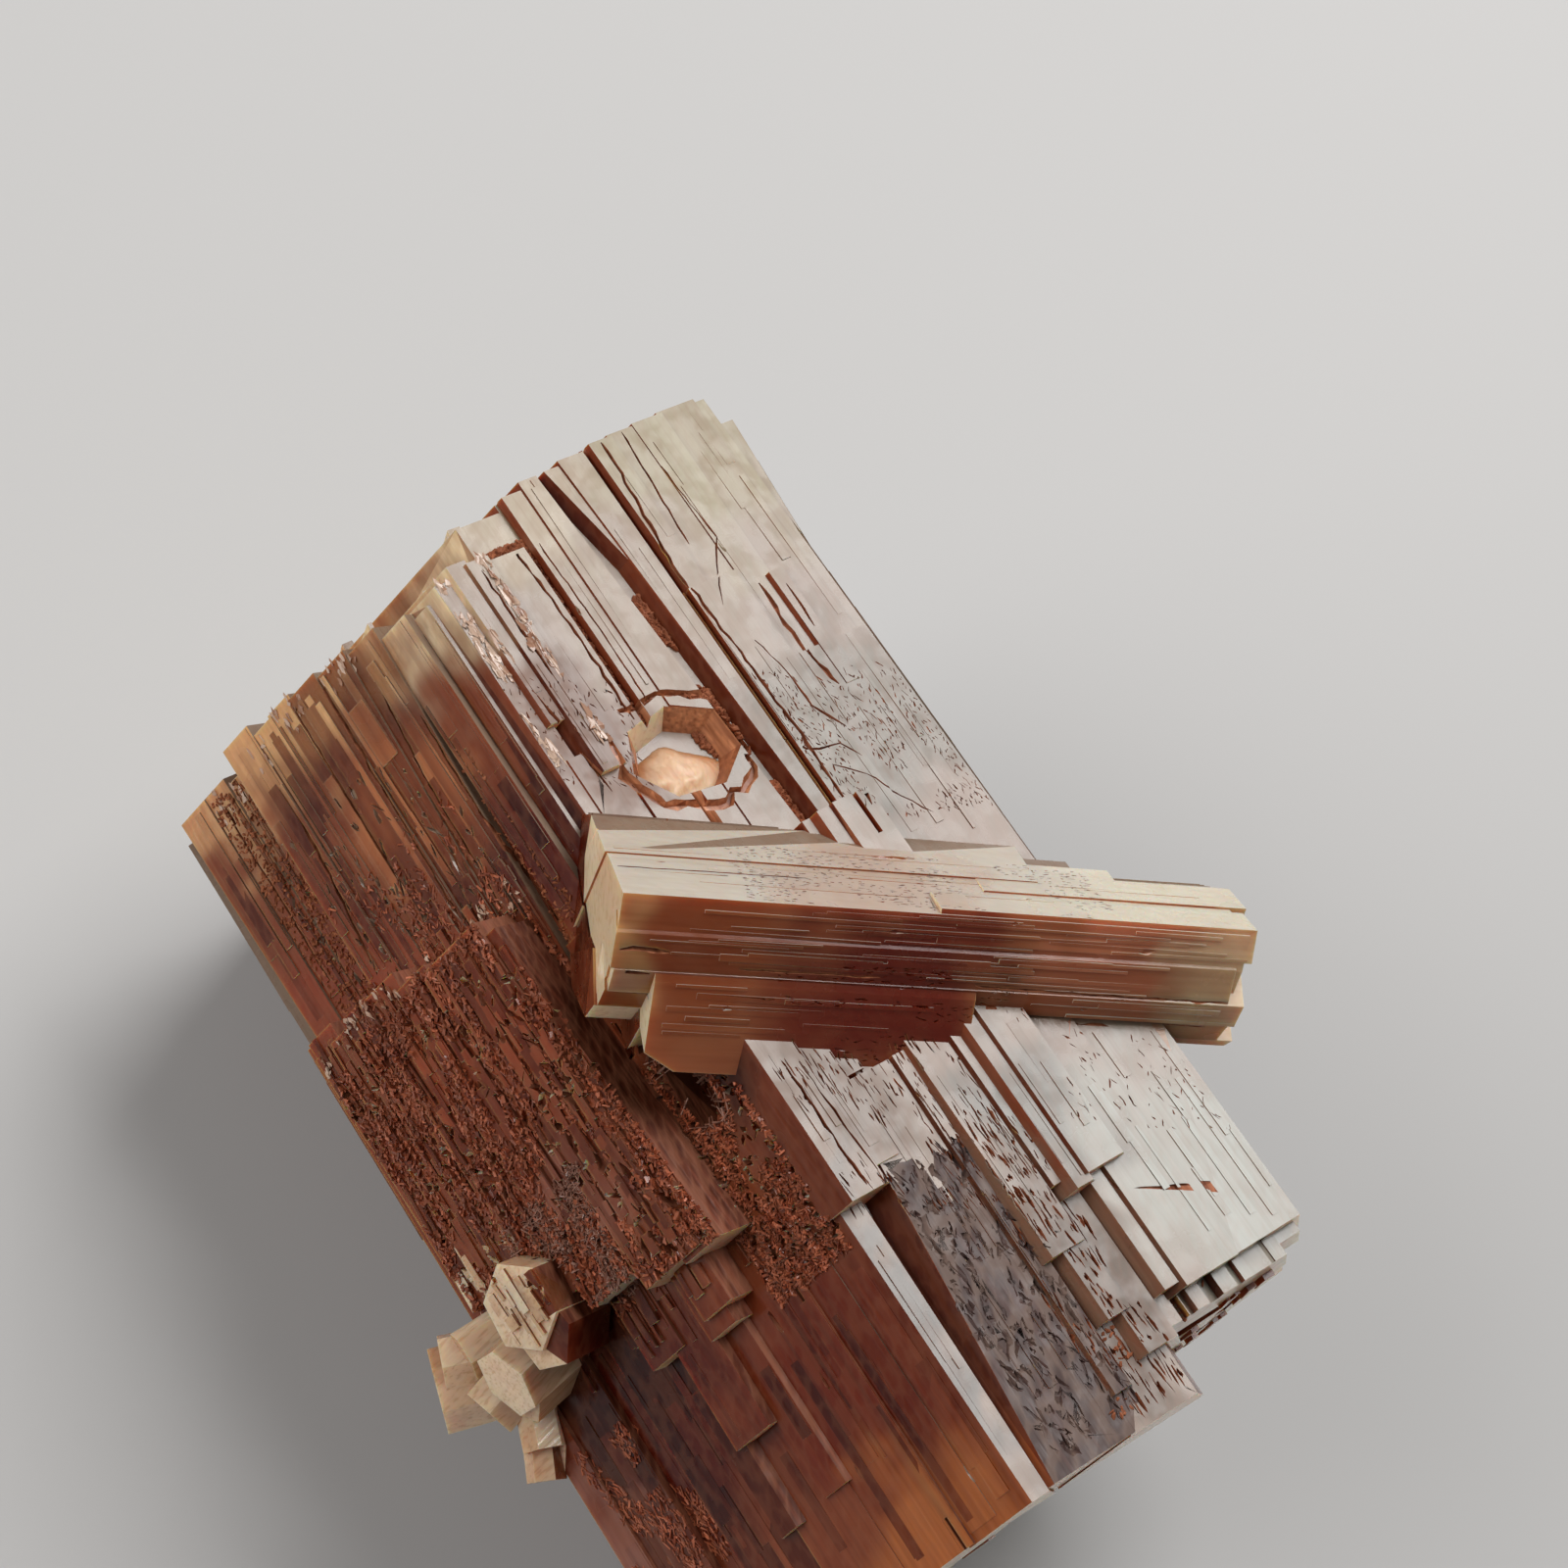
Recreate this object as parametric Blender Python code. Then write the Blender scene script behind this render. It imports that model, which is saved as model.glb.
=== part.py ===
"""Twinned aragonite: a six-sided twin with a second prism grown across its top face.

The twin's long axis runs along X. It lies on one of its six side faces, so that the
opposite one, the top face, is level, and the second prism lies across that. The
crystals are intergrown, so they are one solid. Sizes in the tables below are in
millimetres, and the meshes are made in metres.

Places on a side face are given as: along (parallel to X, from the point where the ridge
between the top and the front face begins), across (from one edge of the face to the
other) and rise (outwards from the face, negative inside it).
"""

import math
import random
from dataclasses import dataclass

import bmesh
import bpy
from mathutils import Euler, Vector

MM = 0.001
SIDE = 17.0
APOTHEM = SIDE * math.sqrt(3.0) / 2.0
FOOT = 38.8
REST_POINT_ALONG = 15.0
FACET_LEAN = math.tan(math.radians(30.0))
SEED = 41
WOBBLE = 0.15

BAR_CORNER = (12.7, -10.8, 34.4)
BAR_TURN = math.radians(60.0)

STONE_COLOUR = (0.52, 0.30, 0.20, 1.0)
STONE_ROUGHNESS = 0.3

# The lamellae of the faces that look away. Each pair is the least and the most.
LAMELLA_STARTS = {"lower_front": -4.9, "lower_back": -7.4, "back": -6.7}
LAMELLA_START_SPREAD = 1.5
LAMELLA_FOOT_GAPS = (3.6, 5.2)
LAMELLA_MARGIN = 0.5
LAMELLA_LEAST_WIDTH = 0.6
LAMELLA_WIDTHS = (0.9, 2.2)
LAMELLA_OVERLAP = 0.12
LAMELLA_RISES = (-0.45, -0.3, -0.15, 0.0)
LAMELLA_UNEVENNESS = 0.04
LAMELLA_DEPTHS = (2.0, 5.0)
LAMELLA_SHORT_SHARE = 0.35
LAMELLA_LATE_STARTS = (-1.0, 14.0)
LAMELLA_EARLY_ENDS = (16.0, 29.0)

# The six-sided columns whose uneven lengths step both ends of the twin.
END_STEP_COUNT = 22
END_STEP_LEAST_REACH = 1.5
END_STEP_EDGE_GAP = 5.2
END_STEP_SIZES = (1.6, 3.6)
END_STEP_STRETCH = 1.5
END_STEP_HEAD = (0.15, 1.1)
END_STEP_FRONT_HEAD = (0.1, 0.9)
END_STEP_FOOT = (0.1, 0.6)

# Each side face: the angle of its outward normal in the YZ plane, and the way that
# across runs round the prism. Across on the top and the front starts at their ridge.
FACES = {
    "top": (90.0, -1),
    "front": (150.0, 1),
    "lower_front": (210.0, 1),
    "bottom": (270.0, 1),
    "lower_back": (330.0, 1),
    "back": (30.0, 1),
}


@dataclass(frozen=True)
class Ledge:
    """A slab that stands on a side face and ends in a step.

    near and far are across at its two sides, start and end are along, and rise is its
    height. The shift values move a side, and the height, by the time it reaches its end.
    """

    face: str
    near: float
    far: float
    start: float
    end: float
    rise: float
    near_shift: float = 0.0
    far_shift: float = 0.0
    rise_shift: float = 0.0
    depth: float = 3.0
    lean: float = FACET_LEAN


# The head end of the top face: lamellae split by clay-filled grooves.
TOP_HEAD_LEDGES = (
    Ledge("top", 0.9, 1.9, -4.3, 13.0, -0.08),
    Ledge("top", 1.7, 2.6, -4.8, 3.4, 0.18),
    Ledge("top", 2.45, 3.5, -4.55, 6.2, 0.34),
    Ledge("top", 3.35, 5.25, -4.4, 16.0, 0.12),
    Ledge("top", 1.5, 3.6, 5.0, 18.0, 0.0),
    Ledge("top", 5.8, 7.0, -7.0, 20.0, -0.06),
    Ledge("top", 6.8, 7.7, -7.35, 20.0, 0.02, 0.0, 1.5),
    Ledge("top", 8.1, 9.0, -7.35, 1.0, 0.12, 1.5, 0.9),
    Ledge("top", 8.9, 10.2, -7.55, 14.0, 0.2, 0.8, 0.0),
    Ledge("top", 10.6, 11.8, -7.75, 20.0, 0.24, 0.1, -0.9),
    Ledge("top", 11.6, 13.2, -7.9, 20.0, 0.12),
    Ledge("top", 13.0, 14.6, -7.98, 20.0, 0.19, 0.0, -0.6),
    Ledge("top", 14.4, 16.4, -8.1, 20.0, 0.09),
    Ledge("top", 16.2, 16.9, -7.95, 20.0, 0.03),
    Ledge("top", 10.4, 12.9, 0.3, 20.0, 0.42),
    Ledge("top", 12.7, 16.6, 4.9, 20.0, 0.34),
    Ledge("top", 14.2, 14.9, 1.0, 7.0, 0.4),
)

# The foot end of the top face: stepped slabs that leave the second prism.
TOP_FOOT_LEDGES = (
    Ledge("top", 0.45, 1.7, 10.0, 38.8, 0.0, 0.0, -0.4),
    Ledge("top", 0.7, 2.4, 11.0, 26.2, 0.92),
    Ledge("top", 2.2, 3.6, 11.0, 25.4, 0.76),
    Ledge("top", 3.4, 4.5, 11.0, 21.8, 0.5),
    Ledge("top", 4.2, 7.2, 11.0, 24.4, 0.3),
    Ledge("top", 3.0, 5.5, 22.0, 38.7, 0.72, -1.5, 0.0, -0.46),
    Ledge("top", 5.3, 8.7, 22.0, 38.75, 0.6, 0.0, 0.0, -0.4),
    Ledge("top", 5.6, 6.4, 22.0, 37.2, 0.9, 0.0, 0.0, -0.4),
    Ledge("top", 6.3, 7.9, 21.0, 31.8, 1.15),
    Ledge("top", 6.9, 8.0, 24.0, 34.8, 0.95),
    Ledge("top", 7.6, 9.1, 22.0, 36.6, 0.78),
    Ledge("top", 8.8, 15.4, 18.0, 36.2, 0.5),
    Ledge("top", 15.2, 16.6, 18.0, 35.7, 0.42),
    Ledge("top", 9.5, 10.6, 18.0, 35.0, 1.22),
    Ledge("top", 10.3, 13.0, 18.0, 35.3, 1.42),
    Ledge("top", 12.8, 16.4, 18.0, 35.25, 1.34),
    Ledge("top", 8.0, 8.7, 12.0, 29.5, 1.35),
    Ledge("top", 8.6, 9.4, 12.0, 30.1, 1.74),
    Ledge("top", 9.3, 11.1, 12.0, 29.8, 1.92),
)

# The head end of the front face, whose left part stands back.
FRONT_HEAD_LEDGES = (
    Ledge("front", 1.3, 3.0, -4.2, 38.4, -0.32, lean=0.1),
    Ledge("front", 2.8, 4.8, -4.8, 14.0, -0.16, 1.0, 1.0, lean=0.1),
    Ledge("front", 4.6, 6.6, -5.1, 14.0, -0.04, 1.0, 0.4, lean=0.1),
    Ledge("front", 6.4, 8.3, -5.35, 12.0, 0.08, 0.3, 0.0, lean=0.1),
    Ledge("front", 8.1, 9.6, -5.6, 12.0, 0.02, lean=0.1),
    Ledge("front", 9.4, 10.9, -5.45, 12.0, 0.1, lean=0.1),
    Ledge("front", 10.7, 12.5, -6.0, 9.0, 0.16, lean=0.1),
    Ledge("front", 12.2, 13.9, -5.1, 38.0, -0.5),
    Ledge("front", 13.7, 15.3, -5.45, 9.0, -0.42),
    Ledge("front", 15.1, 16.9, -5.4, 9.0, -0.3, 0.0, -0.3, lean=0.1),
)

# The overgrowth on the front face and the slabs that trail from it to the foot.
FRONT_FOOT_LEDGES = (
    Ledge("front", 4.4, 6.0, 9.1, 24.3, 1.85, -1.0, -0.6, lean=0.1),
    Ledge("front", 5.0, 8.6, 8.4, 24.1, 2.02, -0.8, -1.2, lean=0.1),
    Ledge("front", 8.2, 10.2, 8.1, 23.2, 1.92, -0.6, 0.0, lean=0.1),
    Ledge("front", 9.9, 12.2, 7.3, 22.2, 1.76, lean=0.1),
    Ledge("front", 11.9, 13.6, 7.1, 21.4, 1.5, lean=0.1),
    Ledge("front", 13.3, 15.0, 7.35, 20.6, 1.18, lean=0.1),
    Ledge("front", 14.8, 16.4, 6.5, 19.8, 0.72, lean=0.2),
    Ledge("front", 15.9, 17.05, 6.4, 37.9, 0.2, 0.0, 0.15, -0.2, lean=0.1),
    Ledge("front", 5.0, 6.6, 22.0, 26.3, 1.15, lean=0.1),
    Ledge("front", 5.6, 7.1, 22.0, 27.0, 0.82, lean=0.1),
    Ledge("front", 6.9, 8.9, 21.0, 30.8, 0.5, 0.2, 0.2, lean=0.1),
    Ledge("front", 8.4, 10.3, 20.0, 26.4, 0.64, lean=0.1),
    Ledge("front", 8.7, 9.7, 28.0, 34.4, 0.26, 0.1, 0.0),
    Ledge("front", 5.9, 7.1, 27.0, 34.2, 0.02),
    Ledge("front", 2.8, 6.2, 12.0, 38.75, -0.24, lean=0.1),
    Ledge("front", 6.0, 9.2, 12.0, 38.6, -0.16, lean=0.1),
    Ledge("front", 9.0, 12.4, 12.0, 38.7, -0.3, lean=0.1),
    Ledge("front", 13.5, 16.6, 8.0, 38.2, -0.12, 0.0, 0.3, lean=0.1),
)

# Ledges on the two faces whose edges frame the view from the front.
EDGE_LEDGES = (
    Ledge("lower_front", 0.3, 2.4, 6.8, 37.8, 0.2),
    Ledge("back", 14.6, 16.6, -6.6, -0.6, 0.45, 0.0, 0.0, -0.4),
)

# The twin's inner block: start, end and how far each side face stands in, in the
# order of FACES. Its front half is a second block that reaches further to the foot.
CORE_ENDS = (-6.6, 35.4)
CORE_INSETS = (0.5, 3.2, 1.2, 0.0, 0.7, 0.6)
FRONT_HALF_ENDS = (-3.9, 37.6)
FRONT_HALF_INSET = 0.65
FRONT_HALF_LIMIT = 0.15

# The second prism. Each column is: start, end, and its section as (ahead, up) from the
# prism's upper corner, where ahead points to the front and up along Z.
BAR_COLUMNS = (
    (0.1, 21.2, ((0.0, 0.0), (1.0, -1.15), (1.85, -3.1), (1.8, -6.0), (-0.2, -8.0),
                 (-4.4, -7.4), (-5.4, -5.6), (-4.2, -3.0))),
    (19.0, 25.5, ((0.0, -0.02), (1.0, -1.17), (1.85, -3.12), (1.7, -5.4), (0.2, -6.1),
                  (-3.4, -6.2), (-4.4, -4.6), (-3.4, -2.45))),
    (0.0, 17.6, ((-2.8, -1.9), (-2.4, -7.9), (-5.5, -7.6), (-6.9, -6.2), (-5.4, -3.7))),
    (0.3, 19.6, ((-2.4, -1.7), (-2.2, -6.0), (-6.2, -6.4), (-4.7, -3.4))),
    (0.05, 25.2, ((0.2, -0.9), (1.05, -1.08), (1.95, -2.25), (0.4, -3.2))),
    (0.2, 25.9, ((0.2, -2.0), (2.0, -2.28), (2.35, -3.4), (0.2, -3.5))),
    (0.1, 25.7, ((0.2, -3.3), (2.25, -3.46), (2.35, -4.65), (0.2, -4.7))),
    (0.0, 20.6, ((0.0, -4.5), (2.3, -4.75), (2.1, -6.2), (-0.1, -8.15), (-1.6, -8.2))),
    (18.4, 26.4, ((0.0, -4.4), (2.32, -4.7), (2.15, -5.5), (0.5, -6.2), (-2.0, -6.3))),
    (12.6, 25.8, ((-0.2, 0.1), (0.8, -0.85), (-0.4, -2.0), (-1.5, -0.9))),
    (15.0, 26.2, ((-1.9, -1.25), (-1.0, -3.0), (-4.6, -4.4), (-3.4, -2.4))),
)

# The lower companion of the second prism, in the same measures.
COMPANION_COLUMNS = (
    (1.8, 14.6, ((0.8, -1.7), (2.3, -2.5), (4.75, -5.1), (3.8, -6.1), (2.2, -7.6),
                 (0.2, -8.2), (0.0, -4.0))),
    (2.3, 11.6, ((0.8, -5.4), (4.6, -5.45), (3.95, -6.4), (2.1, -8.0), (0.4, -8.3))),
    (9.0, 18.4, ((0.6, -3.4), (2.4, -4.2), (3.1, -5.4), (2.4, -6.6), (0.2, -7.2))),
)


@dataclass(frozen=True)
class SidePrism:
    """A small six-sided crystal on the front edge, from its root to its tip."""

    root: tuple
    tip: tuple
    radius: float
    squash: float
    turn: float


SIDE_PRISMS = (
    SidePrism((21.4, -13.8, 18.4), (21.6, -17.4, 20.6), 1.9, 0.9, 10.0),
    SidePrism((22.6, -14.6, 19.0), (22.8, -17.1, 20.5), 1.7, 0.8, 25.0),
    SidePrism((22.4, -14.8, 17.0), (23.4, -18.4, 17.6), 1.6, 0.8, 35.0),
    SidePrism((23.2, -14.9, 16.6), (23.9, -18.0, 17.0), 1.35, 0.85, 5.0),
    SidePrism((22.9, -15.4, 15.1), (21.6, -19.7, 13.9), 1.75, 0.75, 0.0),
    SidePrism((22.3, -15.6, 15.9), (20.9, -19.3, 14.9), 1.25, 0.8, 20.0),
    SidePrism((21.2, -15.8, 16.3), (21.3, -18.7, 15.9), 1.1, 0.6, 15.0),
    SidePrism((22.6, -15.8, 16.4), (23.6, -18.8, 15.2), 1.35, 0.7, 40.0),
    SidePrism((23.2, -16.6, 15.6), (26.0, -17.5, 15.1), 1.0, 0.75, 12.0),
    SidePrism((24.0, -16.7, 15.2), (27.0, -17.9, 14.4), 0.85, 0.8, 30.0),
)

# A direction that none of the small crystals follows, from which their sides are laid out.
SIDE_PRISM_GUIDE = (0.3, 0.2, 1.0)

# The dissolved pit beside the second prism: where it is, and how it narrows downwards.
PIT_PLACE = (6.6, 6.2)
PIT_RADII = (2.1, 2.5)
PIT_DEPTH = 1.2
PIT_SIDES = 7
PIT_TURN = 0.3
PIT_CLEARANCE = 1.0
PIT_MOUTH_SHARE = 1.25
PIT_FLOOR_SHARE = 0.75


@dataclass(frozen=True)
class Groove:
    """A groove or hollow that is cut after the crystals are joined.

    depth is below the plane of the face, and is negative where the floor is above it.
    """

    face: str
    near: float
    far: float
    start: float
    end: float
    depth: float


GROOVES = (
    Groove("top", 5.35, 5.75, -8.6, 4.8, 0.5),
    Groove("top", 10.25, 10.5, -8.6, 14.0, 0.4),
    Groove("top", -0.75, -0.05, -3.6, 9.0, 0.75),
    Groove("front", 1.0, 1.3, -5.0, 12.0, 0.7),
    Groove("front", 12.35, 12.6, -1.0, 8.0, 0.8),
    Groove("front", 1.1, 2.9, 16.2, 20.4, 1.8),
    Groove("front", 3.1, 3.3, 27.0, 39.5, 0.5),
    Groove("top", 9.7, 10.3, 35.3, 37.0, -0.1),
    Groove("bottom", 2.6, 2.9, -9.0, 21.0, 0.35),
    Groove("bottom", 5.1, 5.3, 3.0, 40.0, 0.3),
    Groove("bottom", 12.2, 12.6, -9.0, 26.0, 0.4),
    Groove("bottom", 14.4, 14.6, 11.0, 40.0, 0.3),
)
GROOVE_CLEARANCE = 3.0
GROOVE_TAPER_SHARE = 0.2
GROOVE_MOST_TAPER = 0.15

# Clay-filled holes in the step under the large slab: across, width, depth below the top.
STEP_HOLE_SPAN = (34.4, 37.5)
STEP_HOLE_TOP = 1.05
STEP_HOLE_SLOPE = 0.1
STEP_HOLE_FLOOR = (0.1, 0.8)
STEP_HOLES = (
    (10.2, 0.5, 0.9),
    (11.2, 0.9, 1.0),
    (12.7, 0.5, 0.8),
    (14.3, 0.6, 0.6),
)


def face_point(face: str, along: float, across: float, rise: float) -> Vector:
    """Turns a place on a side face into a point of the model, in millimetres."""
    angle, hand = FACES[face]
    normal = math.radians(angle)
    sideways = math.radians(angle + 90.0 * hand)
    outward = APOTHEM + rise
    offset = across - SIDE / 2.0
    y = math.cos(normal) * outward + math.cos(sideways) * offset
    z = math.sin(normal) * outward + math.sin(sideways) * offset
    return Vector((along, y, z + APOTHEM))


def to_model(point: Vector) -> Vector:
    """Moves a point so that the origin is on the resting face, and turns it to metres."""
    return Vector(((point.x - REST_POINT_ALONG) * MM, point.y * MM, point.z * MM))


def column(name: str, first: list, last: list, group: bpy.types.Collection,
           turned: bool = True) -> bpy.types.Object:
    """Makes a closed prism between two outlines that have the same number of points.

    A turned column is rotated a fraction of a degree about its middle, as grown crystals
    are, so that no two share a plane. The block that the twin rests on isn't turned.
    """
    shape = bmesh.new()
    points = [Vector(point) for point in (*first, *last)]
    if turned:
        middle = sum(points, Vector()) / len(points)
        wobble = random.Random(name)
        turn = Euler([math.radians(wobble.uniform(-WOBBLE, WOBBLE)) for _ in range(3)])
        points = [middle + turn.to_matrix() @ (point - middle) for point in points]
    corners = [shape.verts.new(to_model(point)) for point in points]
    low = corners[:len(first)]
    high = corners[len(first):]
    shape.faces.new(low)
    shape.faces.new(high)
    count = len(low)
    for index in range(count):
        after = (index + 1) % count
        shape.faces.new((low[index], low[after], high[after], high[index]))
    bmesh.ops.recalc_face_normals(shape, faces=shape.faces[:])
    mesh = bpy.data.meshes.new(name)
    shape.to_mesh(mesh)
    shape.free()
    item = bpy.data.objects.new(name, mesh)
    item.hide_render = True
    item.display_type = "WIRE"
    group.objects.link(item)
    return item


def add_ledge(name: str, ledge: Ledge, group: bpy.types.Collection):
    """Adds a slab whose sides lean in like the side faces of the twin."""
    spread = (ledge.depth + ledge.rise) * ledge.lean
    outlines = []
    for along, share in ((ledge.start, 0.0), (ledge.end, 1.0)):
        near = ledge.near + ledge.near_shift * share
        far = ledge.far + ledge.far_shift * share
        rise = ledge.rise + ledge.rise_shift * share
        outlines.append([
            face_point(ledge.face, along, near, rise),
            face_point(ledge.face, along, far, rise),
            face_point(ledge.face, along, far + spread, -ledge.depth),
            face_point(ledge.face, along, near - spread, -ledge.depth),
        ])
    column(name, outlines[0], outlines[1], group)


def hexagon(insets: tuple, along: float) -> list:
    """Gives the twin's six corners at one place along it, with each side set in."""
    corners = []
    names = list(FACES)
    for index, name in enumerate(names):
        following = names[(index + 1) % len(names)]
        first = math.radians(FACES[name][0])
        second = math.radians(FACES[following][0])
        reach = APOTHEM - insets[index]
        next_reach = APOTHEM - insets[(index + 1) % len(names)]
        scale = math.sin(second - first)
        y = (reach * math.sin(second) - next_reach * math.sin(first)) / scale
        z = (next_reach * math.cos(first) - reach * math.cos(second)) / scale
        corners.append(Vector((along, y, z + APOTHEM)))
    return corners


def front_half(along: float) -> list:
    """Gives the outline of the twin's front half, which is the longer one."""
    inset = FRONT_HALF_INSET
    half_side = SIDE / 2.0 - inset * FACET_LEAN
    outline = (
        (-half_side, 2.0 * APOTHEM - inset),
        (FRONT_HALF_LIMIT, 2.0 * APOTHEM - inset),
        (FRONT_HALF_LIMIT, inset),
        (-half_side, inset),
        (-SIDE + inset / math.cos(math.radians(30.0)), APOTHEM),
    )
    return [Vector((along, y, z)) for y, z in outline]


def add_lamellae(face: str, source: random.Random, group: bpy.types.Collection):
    """Covers a side face that has no listed ledges with thin lamellae of uneven length."""
    across = LAMELLA_MARGIN
    far = SIDE - LAMELLA_MARGIN
    index = 0
    while across < far - LAMELLA_LEAST_WIDTH:
        limit = min(across + source.uniform(*LAMELLA_WIDTHS), far)
        start = LAMELLA_STARTS[face] + source.uniform(0.0, LAMELLA_START_SPREAD)
        end = FOOT - source.uniform(*LAMELLA_FOOT_GAPS)
        rise = source.choice(LAMELLA_RISES)
        rise += source.uniform(-LAMELLA_UNEVENNESS, LAMELLA_UNEVENNESS)
        if source.random() < LAMELLA_SHORT_SHARE:
            start = source.uniform(*LAMELLA_LATE_STARTS)
        elif source.random() < LAMELLA_SHORT_SHARE:
            end = source.uniform(*LAMELLA_EARLY_ENDS)
        depth = source.uniform(*LAMELLA_DEPTHS)
        lean = source.choice((0.0, FACET_LEAN))
        ledge = Ledge(face, across, limit + LAMELLA_OVERLAP, start, end, rise,
                      depth=depth, lean=lean)
        add_ledge(f"{face}_lamella_{index}", ledge, group)
        across = limit
        index += 1


def add_end_steps(source: random.Random, group: bpy.types.Collection):
    """Builds the stepped ends from six-sided columns of uneven length."""
    for index in range(END_STEP_COUNT):
        angle = source.uniform(0.0, 2.0 * math.pi)
        reach = source.uniform(END_STEP_LEAST_REACH, APOTHEM - END_STEP_EDGE_GAP)
        size = source.uniform(*END_STEP_SIZES)
        centre_y = reach * math.cos(angle)
        centre_z = reach * math.sin(angle) + APOTHEM
        outline = []
        for corner in range(6):
            turn = math.radians(60.0 * corner)
            stretch = size * (END_STEP_STRETCH if corner % 3 == index % 3 else 1.0)
            outline.append((centre_y + stretch * math.cos(turn),
                            centre_z + stretch * math.sin(turn)))
        start = CORE_ENDS[0] - source.uniform(*END_STEP_HEAD)
        end = CORE_ENDS[1] + source.uniform(*END_STEP_FOOT)
        if centre_y < -size * END_STEP_STRETCH:
            start = FRONT_HALF_ENDS[0] - source.uniform(*END_STEP_FRONT_HEAD)
            end = FRONT_HALF_ENDS[1] + source.uniform(*END_STEP_FOOT)
        first = [(start, y, z) for y, z in outline]
        last = [(end, y, z) for y, z in outline]
        column(f"end_step_{index}", first, last, group)


def bar_point(distance: float, ahead: float, up: float) -> Vector:
    """Turns a place on the second prism into a point of the model, in millimetres."""
    along_axis = Vector((math.cos(BAR_TURN), math.sin(BAR_TURN), 0.0))
    to_front = Vector((math.sin(BAR_TURN), -math.cos(BAR_TURN), 0.0))
    point = Vector(BAR_CORNER) + along_axis * distance + to_front * ahead
    point.z += up
    return point


def add_bar_columns(name: str, columns: tuple, group: bpy.types.Collection):
    """Adds the columns that make up the second prism or its companion."""
    for index, (start, end, section) in enumerate(columns):
        first = [bar_point(start, ahead, up) for ahead, up in section]
        last = [bar_point(end, ahead, up) for ahead, up in section]
        column(f"{name}_{index}", first, last, group)


def add_side_prism(name: str, prism: SidePrism, group: bpy.types.Collection):
    """Adds one small crystal of the cluster, a slightly flattened hexagon."""
    root = Vector(prism.root)
    tip = Vector(prism.tip)
    axis = (tip - root).normalized()
    sideways = axis.cross(Vector(SIDE_PRISM_GUIDE)).normalized()
    upward = axis.cross(sideways)
    first = []
    last = []
    for corner in range(6):
        angle = math.radians(60.0 * corner + prism.turn)
        spoke = sideways * math.cos(angle) + upward * math.sin(angle) * prism.squash
        first.append(root + spoke * prism.radius)
        last.append(tip + spoke * prism.radius)
    column(name, first, last, group)


def add_groove(name: str, groove: Groove, group: bpy.types.Collection):
    """Adds a cutter that runs along a side face and narrows a little with depth."""
    face = groove.face
    taper = min(GROOVE_MOST_TAPER, (groove.far - groove.near) * GROOVE_TAPER_SHARE)
    outlines = []
    for along in (groove.start, groove.end):
        outlines.append([
            face_point(face, along, groove.near, GROOVE_CLEARANCE),
            face_point(face, along, groove.far, GROOVE_CLEARANCE),
            face_point(face, along, groove.far - taper, -groove.depth),
            face_point(face, along, groove.near + taper, -groove.depth),
        ])
    column(name, outlines[0], outlines[1], group)


def pit_outline(share: float, rise: float) -> list:
    """Gives the pit's outline at one height, at a share of its middle size."""
    along, across = PIT_PLACE
    outline = []
    for corner in range(PIT_SIDES):
        angle = 2.0 * math.pi * corner / PIT_SIDES + PIT_TURN
        forward = share * PIT_RADII[0] * math.cos(angle)
        sideways = share * PIT_RADII[1] * math.sin(angle)
        outline.append(face_point("top", along + forward, across + sideways, rise))
    return outline


def add_pit(group: bpy.types.Collection):
    """Adds the cutter of the dissolved pit beside the second prism."""
    mouth = pit_outline(PIT_MOUTH_SHARE, PIT_CLEARANCE)
    floor = pit_outline(PIT_FLOOR_SHARE, -PIT_DEPTH)
    column("pit", mouth, floor, group)


def add_step_holes(group: bpy.types.Collection):
    """Adds the cutters of the holes in the step under the large slab."""
    for index, (across, width, depth) in enumerate(STEP_HOLES):
        floor = STEP_HOLE_TOP - depth
        floor_near = across + width * STEP_HOLE_FLOOR[0]
        floor_far = across + width * STEP_HOLE_FLOOR[1]
        outlines = []
        for along in STEP_HOLE_SPAN:
            outlines.append([
                face_point("top", along, across, STEP_HOLE_TOP),
                face_point("top", along, across + width, STEP_HOLE_TOP - STEP_HOLE_SLOPE),
                face_point("top", along, floor_far, floor),
                face_point("top", along, floor_near, floor + STEP_HOLE_SLOPE),
            ])
        column(f"step_hole_{index}", outlines[0], outlines[1], group)


def stone_material() -> bpy.types.Material:
    """Makes the plain reddish brown of the crystal."""
    material = bpy.data.materials.new("aragonite")
    material.use_nodes = True
    shader = material.node_tree.nodes["Principled BSDF"]
    shader.inputs["Base Color"].default_value = STONE_COLOUR
    shader.inputs["Roughness"].default_value = STONE_ROUGHNESS
    shader.inputs["Metallic"].default_value = 0.0
    return material


def apply_boolean(item: bpy.types.Object, modifier: bpy.types.Modifier):
    """Replaces the crystal's mesh with what a Boolean modifier makes of it."""
    modifier.solver = "EXACT"
    bpy.context.view_layer.update()
    depsgraph = bpy.context.evaluated_depsgraph_get()
    result = bpy.data.meshes.new_from_object(item.evaluated_get(depsgraph))
    item.modifiers.remove(modifier)
    item.data = result


def join_columns(item: bpy.types.Object, group: bpy.types.Collection):
    """Joins all the columns of a group to the crystal."""
    modifier = item.modifiers.new("growth", "BOOLEAN")
    modifier.operand_type = "COLLECTION"
    modifier.collection = group
    modifier.operation = "UNION"
    apply_boolean(item, modifier)


def cut_columns(item: bpy.types.Object, group: bpy.types.Collection):
    """Cuts the columns of a group out of the crystal, one after the other."""
    for cutter in list(group.objects):
        modifier = item.modifiers.new("cut", "BOOLEAN")
        modifier.object = cutter
        modifier.operation = "DIFFERENCE"
        apply_boolean(item, modifier)


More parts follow.
